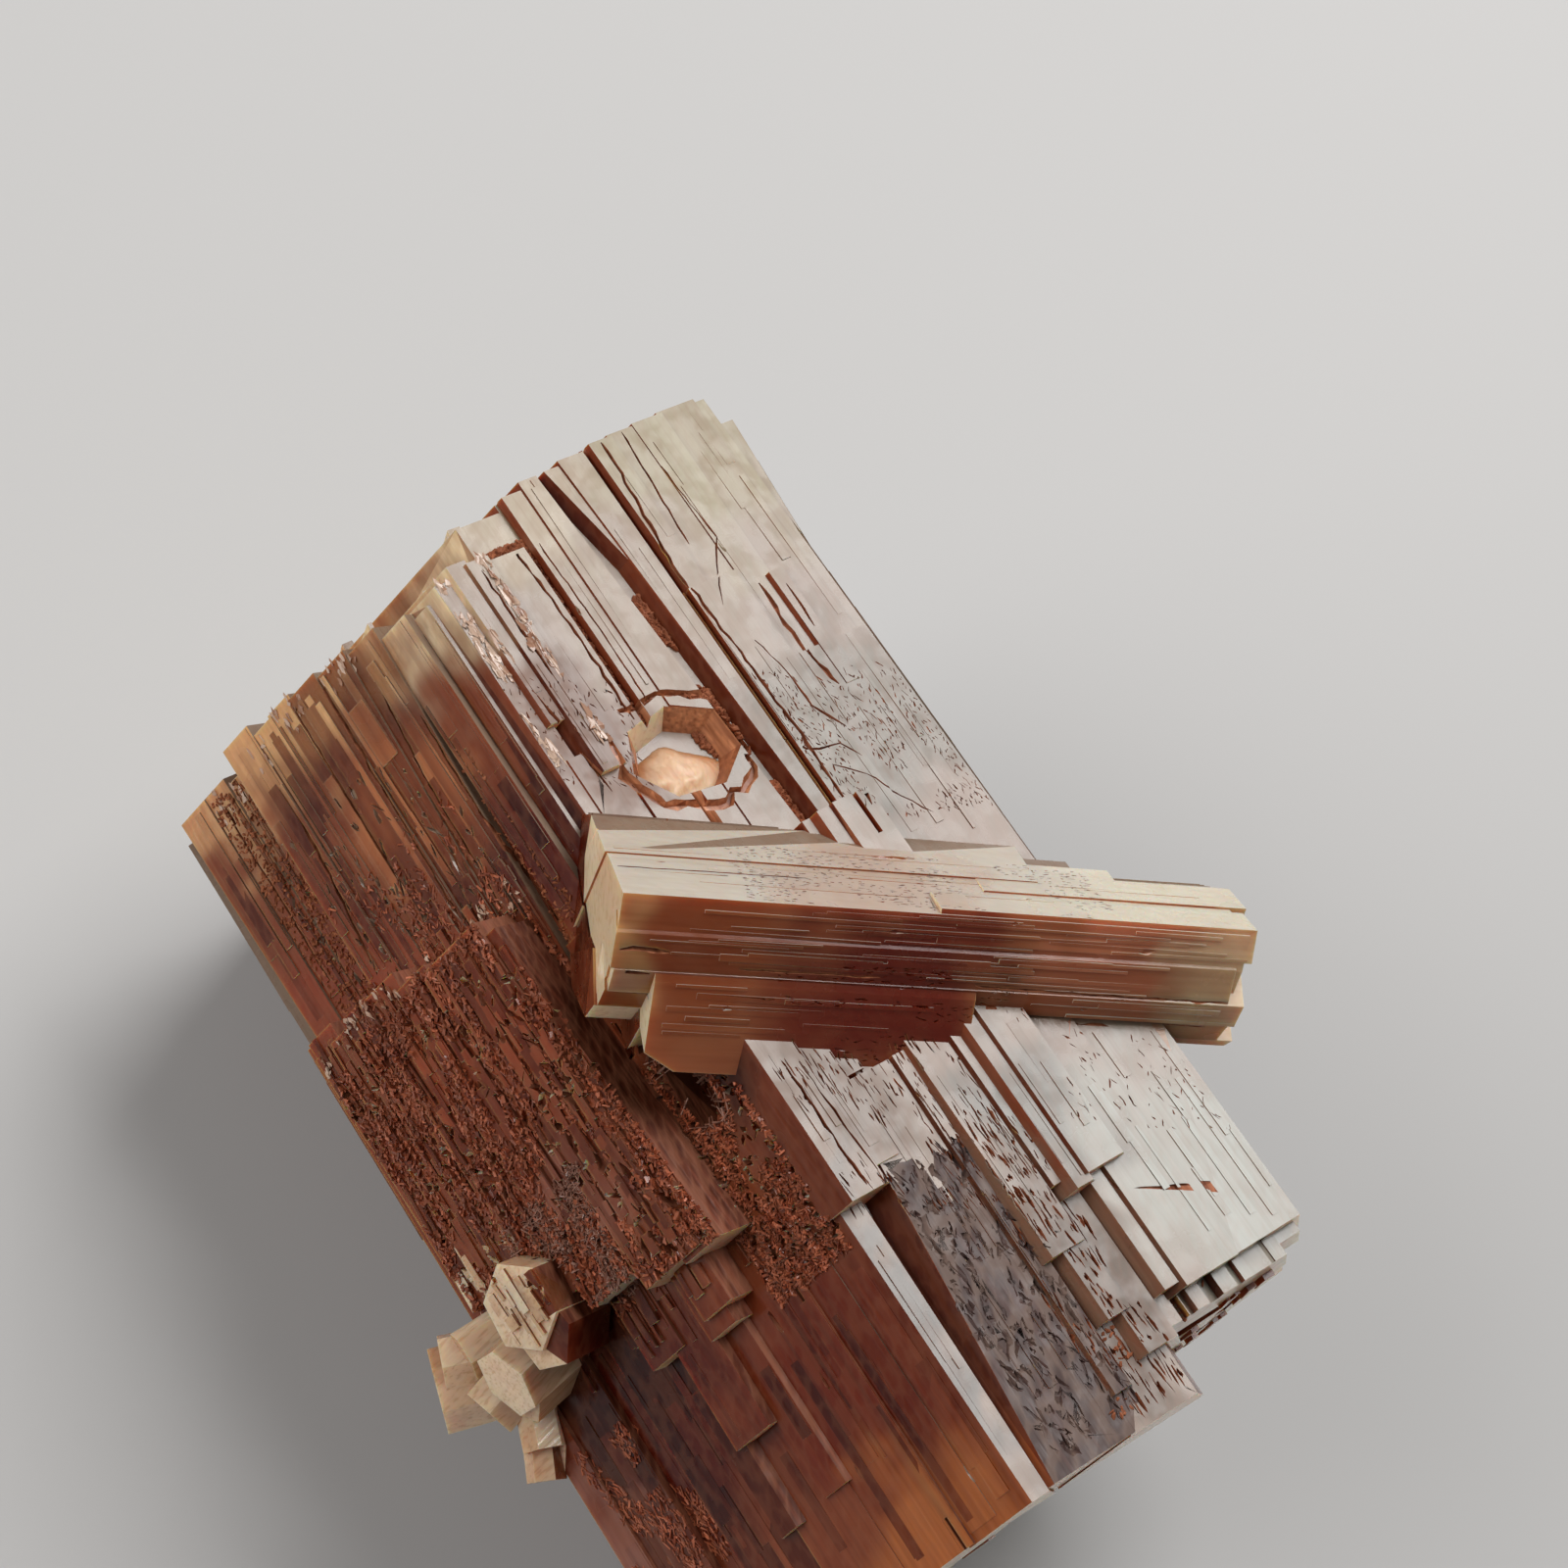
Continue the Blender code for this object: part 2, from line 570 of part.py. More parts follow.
def split_faces(item: bpy.types.Object):
    """Splits the faces that the joining has made into triangles."""
    shape = bmesh.new()
    shape.from_mesh(item.data)
    bmesh.ops.triangulate(shape, faces=shape.faces[:])
    shape.to_mesh(item.data)
    shape.free()


def build_twin() -> bpy.types.Object:
    """Builds the whole specimen as one solid."""
    scene = bpy.context.scene
    growth = bpy.data.collections.new("growth")
    cuts = bpy.data.collections.new("cuts")
    scene.collection.children.link(growth)
    scene.collection.children.link(cuts)
    source = random.Random(SEED)
    twin = column("aragonite_twin", hexagon(CORE_INSETS, CORE_ENDS[0]),
                  hexagon(CORE_INSETS, CORE_ENDS[1]), scene.collection, turned=False)
    twin.hide_render = False
    twin.display_type = "TEXTURED"
    column("front_half", front_half(FRONT_HALF_ENDS[0]), front_half(FRONT_HALF_ENDS[1]), growth)
    listed = (TOP_HEAD_LEDGES + TOP_FOOT_LEDGES + FRONT_HEAD_LEDGES + FRONT_FOOT_LEDGES
              + EDGE_LEDGES)
    for index, ledge in enumerate(listed):
        add_ledge(f"ledge_{index}", ledge, growth)
    for face in LAMELLA_STARTS:
        add_lamellae(face, source, growth)
    add_end_steps(source, growth)
    add_bar_columns("bar", BAR_COLUMNS, growth)
    add_bar_columns("companion", COMPANION_COLUMNS, growth)
    for index, prism in enumerate(SIDE_PRISMS):
        add_side_prism(f"side_prism_{index}", prism, growth)
    for index, groove in enumerate(GROOVES):
        add_groove(f"groove_{index}", groove, cuts)
    add_pit(cuts)
    add_step_holes(cuts)
    join_columns(twin, growth)
    cut_columns(twin, cuts)
    split_faces(twin)
    twin.data.materials.clear()
    twin.data.materials.append(stone_material())
    return twin


def main():
    """Clears the scene and builds the crystal."""
    for item in list(bpy.data.objects):
        bpy.data.objects.remove(item, do_unlink=True)
    build_twin()


main()
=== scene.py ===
"""The finish of the twinned aragonite crystal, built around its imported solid.

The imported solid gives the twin's shape. A copy of it gets the finer relief as real
geometry: thin lamellae that follow the long axis, dissolved pits, clay-filled cracks and
chipped edges. Small crystals, needles and clay grains are pieces of their own. Relief is
laid out on facets, each with its own measures in millimetres: along the crystal's axis,
across it, and outwards from it.
"""

import logging
import math
import random
from dataclasses import dataclass
from enum import Enum

import bmesh
import bpy
import numpy as np
from mathutils import Euler, Matrix, Vector, noise
from mathutils.bvhtree import BVHTree


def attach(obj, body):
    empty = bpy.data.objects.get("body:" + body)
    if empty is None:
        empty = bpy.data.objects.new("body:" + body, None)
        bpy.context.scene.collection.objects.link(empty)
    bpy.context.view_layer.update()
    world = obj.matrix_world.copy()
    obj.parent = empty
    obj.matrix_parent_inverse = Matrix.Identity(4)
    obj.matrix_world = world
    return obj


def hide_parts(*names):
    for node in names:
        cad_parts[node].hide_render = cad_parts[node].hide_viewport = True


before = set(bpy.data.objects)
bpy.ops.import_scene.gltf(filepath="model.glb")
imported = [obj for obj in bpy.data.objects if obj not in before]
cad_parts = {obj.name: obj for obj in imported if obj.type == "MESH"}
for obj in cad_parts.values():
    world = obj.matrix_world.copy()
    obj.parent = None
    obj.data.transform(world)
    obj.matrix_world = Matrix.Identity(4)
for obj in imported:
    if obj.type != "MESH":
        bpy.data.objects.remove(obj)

LOG = logging.getLogger("aragonite")

MM = 0.001
NODE = "aragonite_twin"
BODY = "root"

# The twin's own measures, in millimetres, as its solid has them.
SIDE = 17.0
APOTHEM = SIDE * math.sqrt(3.0) / 2.0
ORIGIN_ALONG = 15.0
BAR_CORNER = (12.7, -10.8, 34.4)
BAR_TURN = 60.0

PROBE_REACH = 8.0
PROBE_DEPTH = 15.0
SAME_PLANE = 0.03
TEST_SPACING = 0.8
SET_GAP = 0.06
PATCH_ALONG = 0.3
PATCH_ACROSS = 0.75


@dataclass(frozen=True)
class Facet:
    """A flat side of the specimen, with its own axes."""

    origin: Vector
    along: Vector
    sideways: Vector
    outward: Vector
    alignment: float = 0.985

    def point(self, along: float, across: float, rise: float = 0.0) -> Vector:
        """Gives a place on the facet in the model's metres."""
        place = self.origin + self.along * along + self.sideways * across + self.outward * rise
        return Vector(((place.x - ORIGIN_ALONG) * MM, place.y * MM, place.z * MM))


def side_facet(angle: float, hand: int) -> Facet:
    """Gives one of the main prism's six side faces.

    Args:
        angle: direction of the outward normal in the YZ plane, in degrees.
        hand: 1 or -1, the way that across runs round the prism.

    Returns:
        The facet, with along measured from where the ridge begins.
    """
    normal = math.radians(angle)
    side = math.radians(angle + 90.0 * hand)
    outward = Vector((0.0, math.cos(normal), math.sin(normal)))
    sideways = Vector((0.0, math.cos(side), math.sin(side)))
    middle = Vector((0.0, 0.0, APOTHEM)) + outward * APOTHEM
    return Facet(middle - sideways * SIDE / 2.0, Vector((1.0, 0.0, 0.0)), sideways, outward)


def bar_facet(ahead: float, up: float, facing: float, alignment: float = 0.93) -> Facet:
    """Gives a side of the second prism.

    Args:
        ahead: where the facet begins, towards the front, from the prism's upper corner.
        up: where it begins along Z, from the same corner.
        facing: direction of the outward normal, in degrees from ahead towards up.
        alignment: how closely a surface has to face that way to count.

    Returns:
        The facet, whose across runs down the prism's section.
    """
    turn = math.radians(BAR_TURN)
    axis = Vector((math.cos(turn), math.sin(turn), 0.0))
    front = Vector((math.sin(turn), -math.cos(turn), 0.0))
    rise = Vector((0.0, 0.0, 1.0))
    angle = math.radians(facing)
    outward = front * math.cos(angle) + rise * math.sin(angle)
    sideways = front * math.sin(angle) - rise * math.cos(angle)
    if sideways.z > 0.0 or facing > 90.0:
        sideways = -sideways if facing > 90.0 else sideways
    origin = Vector(BAR_CORNER) + front * ahead + rise * up
    return Facet(origin, axis, sideways, outward, alignment)


def end_facet(outward: Vector, middle: Vector, alignment: float = 0.98) -> Facet:
    """Gives an end of a prism, with along upwards and its origin in the middle."""
    up = Vector((0.0, 0.0, 1.0))
    return Facet(middle, up, outward.cross(up), outward, alignment)


SMALL_END = Vector((0.13, 0.52, 0.84))
BAR_AXIS = Vector((math.cos(math.radians(BAR_TURN)), math.sin(math.radians(BAR_TURN)), 0.0))

FACETS = {
    "top": side_facet(90.0, -1),
    "front": side_facet(150.0, 1),
    "lower_front": side_facet(210.0, 1),
    "lower_back": side_facet(330.0, 1),
    "back": side_facet(30.0, 1),
    "bar_top": bar_facet(0.0, 0.0, 125.6),
    "bar_brow": bar_facet(0.0, 0.0, 41.0, 0.9),
    "bar_front": bar_facet(1.0, -1.15, 8.0, 0.85),
    "bar_under": bar_facet(2.1, -6.2, -48.0, 0.9),
    "bar_rear": bar_facet(-4.2, -3.0, 155.0, 0.9),
    "companion": bar_facet(2.3, -2.5, 43.3, 0.9),
    "head_end": end_facet(Vector((-1.0, 0.0, 0.0)), Vector((0.0, 0.0, APOTHEM))),
    "foot_end": end_facet(Vector((1.0, 0.0, 0.0)), Vector((30.0, 0.0, APOTHEM))),
    "bar_head_end": end_facet(-BAR_AXIS, Vector(BAR_CORNER), 0.97),
    "bar_foot_end": end_facet(BAR_AXIS, Vector(BAR_CORNER) + BAR_AXIS * 25.0, 0.97),
}


class Form(Enum):
    """The simple forms that relief is made of."""

    SLAB = "slab"
    PRISM = "prism"
    GRAIN = "grain"


@dataclass(frozen=True)
class Field:
    """A stretch of a facet that is covered with forms of one kind, in millimetres.

    Each pair is the least and the most. skew moves the stretch along by that much for each
    millimetre across, and bias above 1 crowds the forms towards the start, below 1 towards
    the end. The forms are tilted by up to tilt and turned by up to yaw, in degrees.
    """

    facet: str
    start: float
    end: float
    near: float
    far: float
    count: int
    lengths: tuple[float, float]
    widths: tuple[float, float]
    heights: tuple[float, float]
    skew: float = 0.0
    bias: float = 1.0
    yaw: float = 0.5
    tilt: float = 0.4
    sets: int = 1
    rises: tuple[float, float] = (-9.0, 9.0)
    patch: float = -1.0
    finish: str = "clay"


@dataclass(frozen=True)
class Placement:
    """One form in its place: centre on the surface, half sizes, turn, tone and wear."""

    centre: Vector
    size: Vector
    turn: Euler
    tone: float
    wear: float


@dataclass(frozen=True)
class Crack:
    """A groove that follows points (along, across) on a facet, with a ragged width."""

    facet: str
    points: tuple[tuple[float, float], ...]
    width: float
    depth: float
    raggedness: float = 0.35
    finish: str = "clay"


class Surface:
    """Finds the crystal's surface under a place on a facet."""

    def __init__(self, mesh: bpy.types.Mesh) -> None:
        """Indexes the mesh for ray casts."""
        points = [vertex.co.copy() for vertex in mesh.vertices]
        faces = [tuple(polygon.vertices) for polygon in mesh.polygons]
        self.tree = BVHTree.FromPolygons(points, faces)

    def probe(self, facet: Facet, along: float, across: float) -> tuple[float, Vector] | None:
        """Casts a ray at the facet from outside.

        Args:
            facet: the facet that is probed.
            along: place along its axis.
            across: place across it.

        Returns:
            The surface's rise over the facet and its normal, or None where it faces
            another way.
        """
        origin = facet.point(along, across, PROBE_REACH)
        place, normal, _, distance = self.tree.ray_cast(origin, -facet.outward, PROBE_DEPTH * MM)
        if place is None or normal.dot(facet.outward) < facet.alignment:
            return None
        return PROBE_REACH - distance / MM, normal

    def flat_under(self, facet: Facet, along: float, across: float, half_length: float,
                   half_width: float) -> tuple[float, Vector] | None:
        """Gives what probe gives, if the whole stretch lies in one plane."""
        middle = self.probe(facet, along, across)
        if middle is None:
            return None
        rise, normal = middle
        outwards = normal.dot(facet.outward)
        slope_along = normal.dot(facet.along) / outwards
        slope_across = normal.dot(facet.sideways) / outwards
        stretches = max(1, math.ceil(2.0 * half_length / TEST_SPACING))
        steps = [2.0 * step / stretches - 1.0 for step in range(stretches + 1)]
        for step_along, step_across in ((step, side) for step in steps for side in (-1, 1)):
            shift_along = step_along * half_length
            shift_across = step_across * half_width
            corner = self.probe(facet, along + shift_along, across + shift_across)
            if corner is None:
                return None
            expected = rise - shift_along * slope_along - shift_across * slope_across
            if abs(corner[0] - expected) > SAME_PLANE:
                return None
        return middle


class Layout:
    """Scatters the forms of fields over the crystal, in sets whose forms don't touch."""

    def __init__(self, surface: Surface, seed: int) -> None:
        """Keeps the surface that the forms stand on."""
        self.surface = surface
        self.source = random.Random(seed)

    def spread(self, field: Field, on_flat: bool = True, apart: bool = True,
               wear: float = 0.0) -> list[list[Placement]]:
        """Places the forms of one field.

        Args:
            field: what to place and where.
            on_flat: whether each form needs a flat stretch under it.
            apart: whether the forms of a set stay clear of each other.
            wear: how far its corners are moved at most, as a share of its half width.

        Returns:
            A list of sets.
        """
        return [self._one_set(field, field.count // field.sets, on_flat, apart, wear)
                for _ in range(field.sets)]

    def _one_set(self, field: Field, wanted: int, on_flat: bool, apart: bool,
                 wear: float) -> list[Placement]:
        """Places the forms of one set."""
        facet = FACETS[field.facet]
        taken = np.empty((wanted, 4))
        placed: list[Placement] = []
        for _ in range(wanted * 6):
            if len(placed) == wanted:
                break
            half_length = self.source.uniform(*field.lengths) / 2.0
            half_width = self.source.uniform(*field.widths) / 2.0
            height = self.source.uniform(*field.heights)
            across = self.source.uniform(field.near, field.far)
            share = self.source.random() ** field.bias
            along = field.start + (field.end - field.start) * share + field.skew * across
            spin = math.radians(self.source.uniform(-field.yaw, field.yaw))
            tilt = [math.radians(self.source.uniform(-field.tilt, field.tilt)) for _ in range(2)]
            tone = self.source.random()
            spot = Vector((along * PATCH_ALONG, across * PATCH_ACROSS, field.count * 0.37))
            if noise.noise(spot) < field.patch:
                continue
            reach_along = abs(half_length * math.cos(spin)) + abs(half_width * math.sin(spin))
            reach_across = abs(half_length * math.sin(spin)) + abs(half_width * math.cos(spin))
            used = taken[:len(placed)]
            clear_along = np.abs(used[:, 0] - along) > used[:, 2] + reach_along + SET_GAP
            clear_across = np.abs(used[:, 1] - across) > used[:, 3] + reach_across + SET_GAP
            if apart and not np.all(clear_along | clear_across):
                continue
            if on_flat:
                found = self.surface.flat_under(facet, along, across, reach_along, reach_across)
            else:
                found = self.surface.probe(facet, along, across)
            if found is None:
                continue
            rise, normal = found
            if not field.rises[0] < rise < field.rises[1]:
                continue
            taken[len(placed)] = (along, across, reach_along, reach_across)
            axis = (facet.along - normal * facet.along.dot(normal)).normalized()
            basis = Matrix((axis, normal.cross(axis), normal)).transposed()
            turn = basis @ Euler((tilt[0], tilt[1], spin)).to_matrix()
            size = Vector((half_length, half_width, height)) * MM
            placed.append(Placement(facet.point(along, across, rise), size, turn.to_euler(), tone,
                                    wear * min(size.x, size.y)))
        return placed


class FormTree:
    """A Geometry Nodes tree that puts a form on every point of a mesh.

    The points carry size, turn, wear and tone. A slab or a grain reaches from its point
    outwards and inwards by its height; a prism is shifted inwards and reaches in by twice its
    height, from its full width at the point down to its inner share.
    """

    def __init__(self, form: Form) -> None:
        """Builds the tree."""
        self.group = bpy.data.node_groups.new(f"place_{form.value}", "GeometryNodeTree")
        face = self.group.interface
        face.new_socket("Geometry", in_out="INPUT", socket_type="NodeSocketGeometry")
        face.new_socket("Sides", in_out="INPUT", socket_type="NodeSocketInt").default_value = 6
        face.new_socket("Inner Share", in_out="INPUT", socket_type="NodeSocketFloat")
        face.new_socket("Seed", in_out="INPUT", socket_type="NodeSocketInt")
        face.new_socket("Finish", in_out="INPUT", socket_type="NodeSocketMaterial")
        face.new_socket("Geometry", in_out="OUTPUT", socket_type="NodeSocketGeometry")
        start = self._node("NodeGroupInput")
        shape = self._primitive(form, start)
        place = self._node("GeometryNodeInstanceOnPoints")
        self._join(start.outputs["Geometry"], place.inputs["Points"])
        self._join(shape, place.inputs["Instance"])
        turn = self._node("FunctionNodeEulerToRotation")
        self._join(self._attribute("turn", "FLOAT_VECTOR"), turn.inputs["Euler"])
        self._join(turn.outputs["Rotation"], place.inputs["Rotation"])
        self._join(self._attribute("size", "FLOAT_VECTOR"), place.inputs["Scale"])
        real = self._node("GeometryNodeRealizeInstances")
        self._join(place.outputs["Instances"], real.inputs["Geometry"])
        worn = self._node("GeometryNodeSetPosition")
        self._join(real.outputs["Geometry"], worn.inputs["Geometry"])
        self._join(self._wear(start), worn.inputs["Offset"])
        finish = self._node("GeometryNodeSetMaterial")
        self._join(worn.outputs["Geometry"], finish.inputs["Geometry"])
        self._join(start.outputs["Finish"], finish.inputs["Material"])
        end = self._node("NodeGroupOutput")
        self._join(finish.outputs["Geometry"], end.inputs["Geometry"])

    def _node(self, kind: str) -> bpy.types.Node:
        """Adds a node."""
        return self.group.nodes.new(kind)

    def _join(self, source: bpy.types.NodeSocket, target: bpy.types.NodeSocket) -> None:
        """Links two sockets."""
        self.group.links.new(source, target)

    def _attribute(self, name: str, kind: str) -> bpy.types.NodeSocket:
        """Reads a named attribute of the points."""
        node = self._node("GeometryNodeInputNamedAttribute")
        node.data_type = kind
        node.inputs["Name"].default_value = name
        return next(socket for socket in node.outputs if socket.enabled)

    def _wear(self, start: bpy.types.Node) -> bpy.types.NodeSocket:
        """Gives each corner a random shift of up to the point's wear."""
        shift = self._node("FunctionNodeRandomValue")
        shift.data_type = "FLOAT_VECTOR"
        shift.inputs["Min"].default_value = (-1.0, -1.0, -1.0)
        shift.inputs["Max"].default_value = (1.0, 1.0, 1.0)
        self._join(start.outputs["Seed"], shift.inputs["Seed"])
        scaled = self._node("ShaderNodeVectorMath")
        scaled.operation = "SCALE"
        self._join(next(s for s in shift.outputs if s.enabled), scaled.inputs[0])
        self._join(self._attribute("wear", "FLOAT"), scaled.inputs["Scale"])
        return scaled.outputs["Vector"]

    def _primitive(self, form: Form, start: bpy.types.Node) -> bpy.types.NodeSocket:
        """Adds the form itself, in half sizes of 1."""
        if form is Form.SLAB:
            cube = self._node("GeometryNodeMeshCube")
            cube.inputs["Size"].default_value = (2.0, 2.0, 2.0)
            return cube.outputs["Mesh"]
        if form is Form.GRAIN:
            ball = self._node("GeometryNodeMeshIcoSphere")
            ball.inputs["Subdivisions"].default_value = 1
            return ball.outputs["Mesh"]
        cone = self._node("GeometryNodeMeshCone")
        self._join(start.outputs["Sides"], cone.inputs["Vertices"])
        self._join(start.outputs["Inner Share"], cone.inputs["Radius Bottom"])
        cone.inputs["Radius Top"].default_value = 1.0
        cone.inputs["Depth"].default_value = 2.0
        centred = self._node("GeometryNodeTransform")
        centred.inputs["Translation"].default_value = (0.0, 0.0, -1.0)
        self._join(cone.outputs["Mesh"], centred.inputs["Geometry"])
        return centred.outputs["Geometry"]

    def realise(self, name: str, placements: list[Placement], finish: bpy.types.Material,
                sides: int = 6, inner_share: float = 0.5, seed: int = 1) -> bpy.types.Object:
        """Makes a plain mesh object of the placed forms.

        Args:
            name: the object's name.
            placements: where the forms go.
            finish: their material.
            sides: how many sides a prism has.
            inner_share: a prism's radius at its inner end, as a share of the outer one.
            seed: picks the random shifts of the corners.

        Returns:
            The object, at the origin.
        """
        mesh = bpy.data.meshes.new(name)
        mesh.from_pydata([place.centre for place in placements], [], [])
        for key, kind, values in (
            ("size", "FLOAT_VECTOR", [tuple(place.size) for place in placements]),
            ("turn", "FLOAT_VECTOR", [tuple(place.turn) for place in placements]),
            ("wear", "FLOAT", [place.wear for place in placements]),
            ("tone", "FLOAT", [place.tone for place in placements]),
        ):
            layer = mesh.attributes.new(key, kind, "POINT")
            member = "vector" if kind == "FLOAT_VECTOR" else "value"
            layer.data.foreach_set(member, np.array(values, dtype=np.float32).ravel())
        item = bpy.data.objects.new(name, mesh)
        bpy.context.scene.collection.objects.link(item)
        modifier = item.modifiers.new("place", "NODES")
        modifier.node_group = self.group
        given = {"Sides": sides, "Inner Share": inner_share, "Seed": seed, "Finish": finish}
        for socket in self.group.interface.items_tree:
            if socket.in_out == "INPUT" and socket.name in given:
                modifier[socket.identifier] = given[socket.name]
        bpy.context.view_layer.update()
        depsgraph = bpy.context.evaluated_depsgraph_get()
        result = bpy.data.meshes.new_from_object(item.evaluated_get(depsgraph))
        item.modifiers.clear()
        item.data = result
        for key in ("size", "turn", "wear"):
            layer = result.attributes.get(key)
            if layer is not None:
                result.attributes.remove(layer)
        return item


def cut_or_join(item: bpy.types.Object, other: bpy.types.Object, operation: str) -> None:
    """Cuts a set of forms out of the crystal, or joins it on, and removes the set."""
    modifier = item.modifiers.new("relief", "BOOLEAN")
    modifier.solver = "MANIFOLD"
    modifier.material_mode = "TRANSFER"
    modifier.object = other
    modifier.operation = operation
    bpy.context.view_layer.update()
    depsgraph = bpy.context.evaluated_depsgraph_get()
    result = bpy.data.meshes.new_from_object(item.evaluated_get(depsgraph))
    item.modifiers.remove(modifier)
    item.data = result
    bpy.data.objects.remove(other)


def crack_cutter(name: str, crack: Crack, surface: Surface, source: random.Random,
                 finish: bpy.types.Material) -> bpy.types.Object | None:
    """Sweeps a narrow V-shaped section along a crack.

    Args:
        name: the cutter's name.
        crack: the path, width and depth.
        surface: the surface that the crack follows.
        source: gives the ragged width.
        finish: the material that the crack's walls get.

    Returns:
        The cutter, or None where the crack leaves the surface.
    """
    facet = FACETS[crack.facet]
    step = 0.45
    path: list[tuple[float, float]] = []
    for (along, across), (next_along, next_across) in zip(crack.points, crack.points[1:]):
        length = math.hypot(next_along - along, next_across - across)
        pieces = max(1, round(length / step))
        for index in range(pieces):
            share = index / pieces
            path.append((along + (next_along - along) * share,
                         across + (next_across - across) * share))
    path.append(crack.points[-1])
    shape = bmesh.new()
    rings = []
    clear = 0.25
    last_rise = None
    for index, (along, across) in enumerate(path):
        found = surface.probe(facet, along, across)
        rise = found[0] if found else last_rise
        if rise is None:
            continue
        last_rise = rise
        before = path[max(index - 1, 0)]
        after = path[min(index + 1, len(path) - 1)]
        heading = Vector((after[0] - before[0], after[1] - before[1])).normalized()
        side = Vector((-heading.y, heading.x))
        end = 0.35 if index in (0, len(path) - 1) else 1.0
        half = crack.width / 2.0 * end
        left = half * (1.0 + source.uniform(-crack.raggedness, crack.raggedness))
        right = half * (1.0 + source.uniform(-crack.raggedness, crack.raggedness))
        drift = source.uniform(-0.3, 0.3) * crack.width
        ring = []
        for shift, height in ((left, clear), (left * 0.9, 0.0), (left * 0.35, -crack.depth),
                              (-right * 0.35, -crack.depth), (-right * 0.9, 0.0), (-right, clear)):
            place = side * (shift + drift)
            ring.append(shape.verts.new(facet.point(along + place.x, across + place.y,
                                                    rise + height)))
        rings.append(ring)
    if len(rings) < 2:
        shape.free()
        return None
    for first, second in zip(rings, rings[1:]):
        for index in range(len(first)):
            following = (index + 1) % len(first)
            shape.faces.new((first[index], first[following], second[following], second[index]))
    shape.faces.new(rings[0])
    shape.faces.new(rings[-1])
    bmesh.ops.recalc_face_normals(shape, faces=shape.faces[:])
    bmesh.ops.triangulate(shape, faces=shape.faces[:])
    mesh = bpy.data.meshes.new(name)
    shape.to_mesh(mesh)
    shape.free()
    mesh.materials.append(finish)
    item = bpy.data.objects.new(name, mesh)
    bpy.context.scene.collection.objects.link(item)
    return item


class Graph:
    """Adds nodes to a shader tree in a readable way."""

    def __init__(self, tree: bpy.types.NodeTree) -> None:
        """Keeps the tree."""
        self.tree = tree

    def node(self, kind: str, **settings: object) -> bpy.types.Node:
        """Adds a node and sets its properties."""
        made = self.tree.nodes.new(kind)
        for key, value in settings.items():
            setattr(made, key, value)
        return made

    def feed(self, target: bpy.types.NodeSocket, value: object) -> None:
        """Links a socket into target, or sets a plain value there."""
        if isinstance(value, bpy.types.NodeSocket):
            self.tree.links.new(value, target)
        else:
            target.default_value = value

    def math(self, operation: str, first: object, second: object = 0.0) -> bpy.types.NodeSocket:
        """Adds a Math node."""
        made = self.node("ShaderNodeMath", operation=operation)
        self.feed(made.inputs[0], first)
        self.feed(made.inputs[1], second)
        return made.outputs[0]

    def vector(self, operation: str, first: object, second: object) -> bpy.types.NodeSocket:
        """Adds a Vector Math node."""
        made = self.node("ShaderNodeVectorMath", operation=operation)
        self.feed(made.inputs[0], first)
        self.feed(made.inputs[1], second)
        return made.outputs["Value" if operation == "LENGTH" else "Vector"]

    def mix(self, share: object, first: object, second: object,
            blend: str = "MIX") -> bpy.types.NodeSocket:
        """Mixes two colours."""
        made = self.node("ShaderNodeMix", data_type="RGBA", blend_type=blend)
        self.feed(made.inputs["Factor"], share)
        colours = [socket for socket in made.inputs if socket.type == "RGBA"]
        self.feed(colours[0], first)
        self.feed(colours[1], second)
        return next(socket for socket in made.outputs if socket.type == "RGBA")

    def spread(self, value: object, low: float, high: float, to_low: float = 0.0,
               to_high: float = 1.0) -> bpy.types.NodeSocket:
        """Maps a range smoothly to another."""
        made = self.node("ShaderNodeMapRange", interpolation_type="SMOOTHSTEP")
        self.feed(made.inputs["Value"], value)
        made.inputs["From Min"].default_value = low
        made.inputs["From Max"].default_value = high
        made.inputs["To Min"].default_value = to_low
        made.inputs["To Max"].default_value = to_high
        return made.outputs["Result"]

    def noise(self, place: object, scale: float, detail: float = 3.0,
              roughness: float = 0.55) -> bpy.types.NodeSocket:
        """Adds a noise texture."""
        made = self.node("ShaderNodeTexNoise", normalize=True)
        self.feed(made.inputs["Vector"], place)
        made.inputs["Scale"].default_value = scale
        made.inputs["Detail"].default_value = detail
        made.inputs["Roughness"].default_value = roughness
        return made.outputs["Fac"]


def new_group(name: str, inputs: tuple, outputs: tuple) -> tuple[bpy.types.NodeTree, Graph]:
    """Starts a shader node group with named sockets."""
    group = bpy.data.node_groups.new(name, "ShaderNodeTree")
    for label, kind, value in inputs:
        socket = group.interface.new_socket(label, in_out="INPUT", socket_type=kind)
        if value is not None:
            socket.default_value = value
    for label, kind in outputs:
        group.interface.new_socket(label, in_out="OUTPUT", socket_type=kind)
    return group, Graph(group)


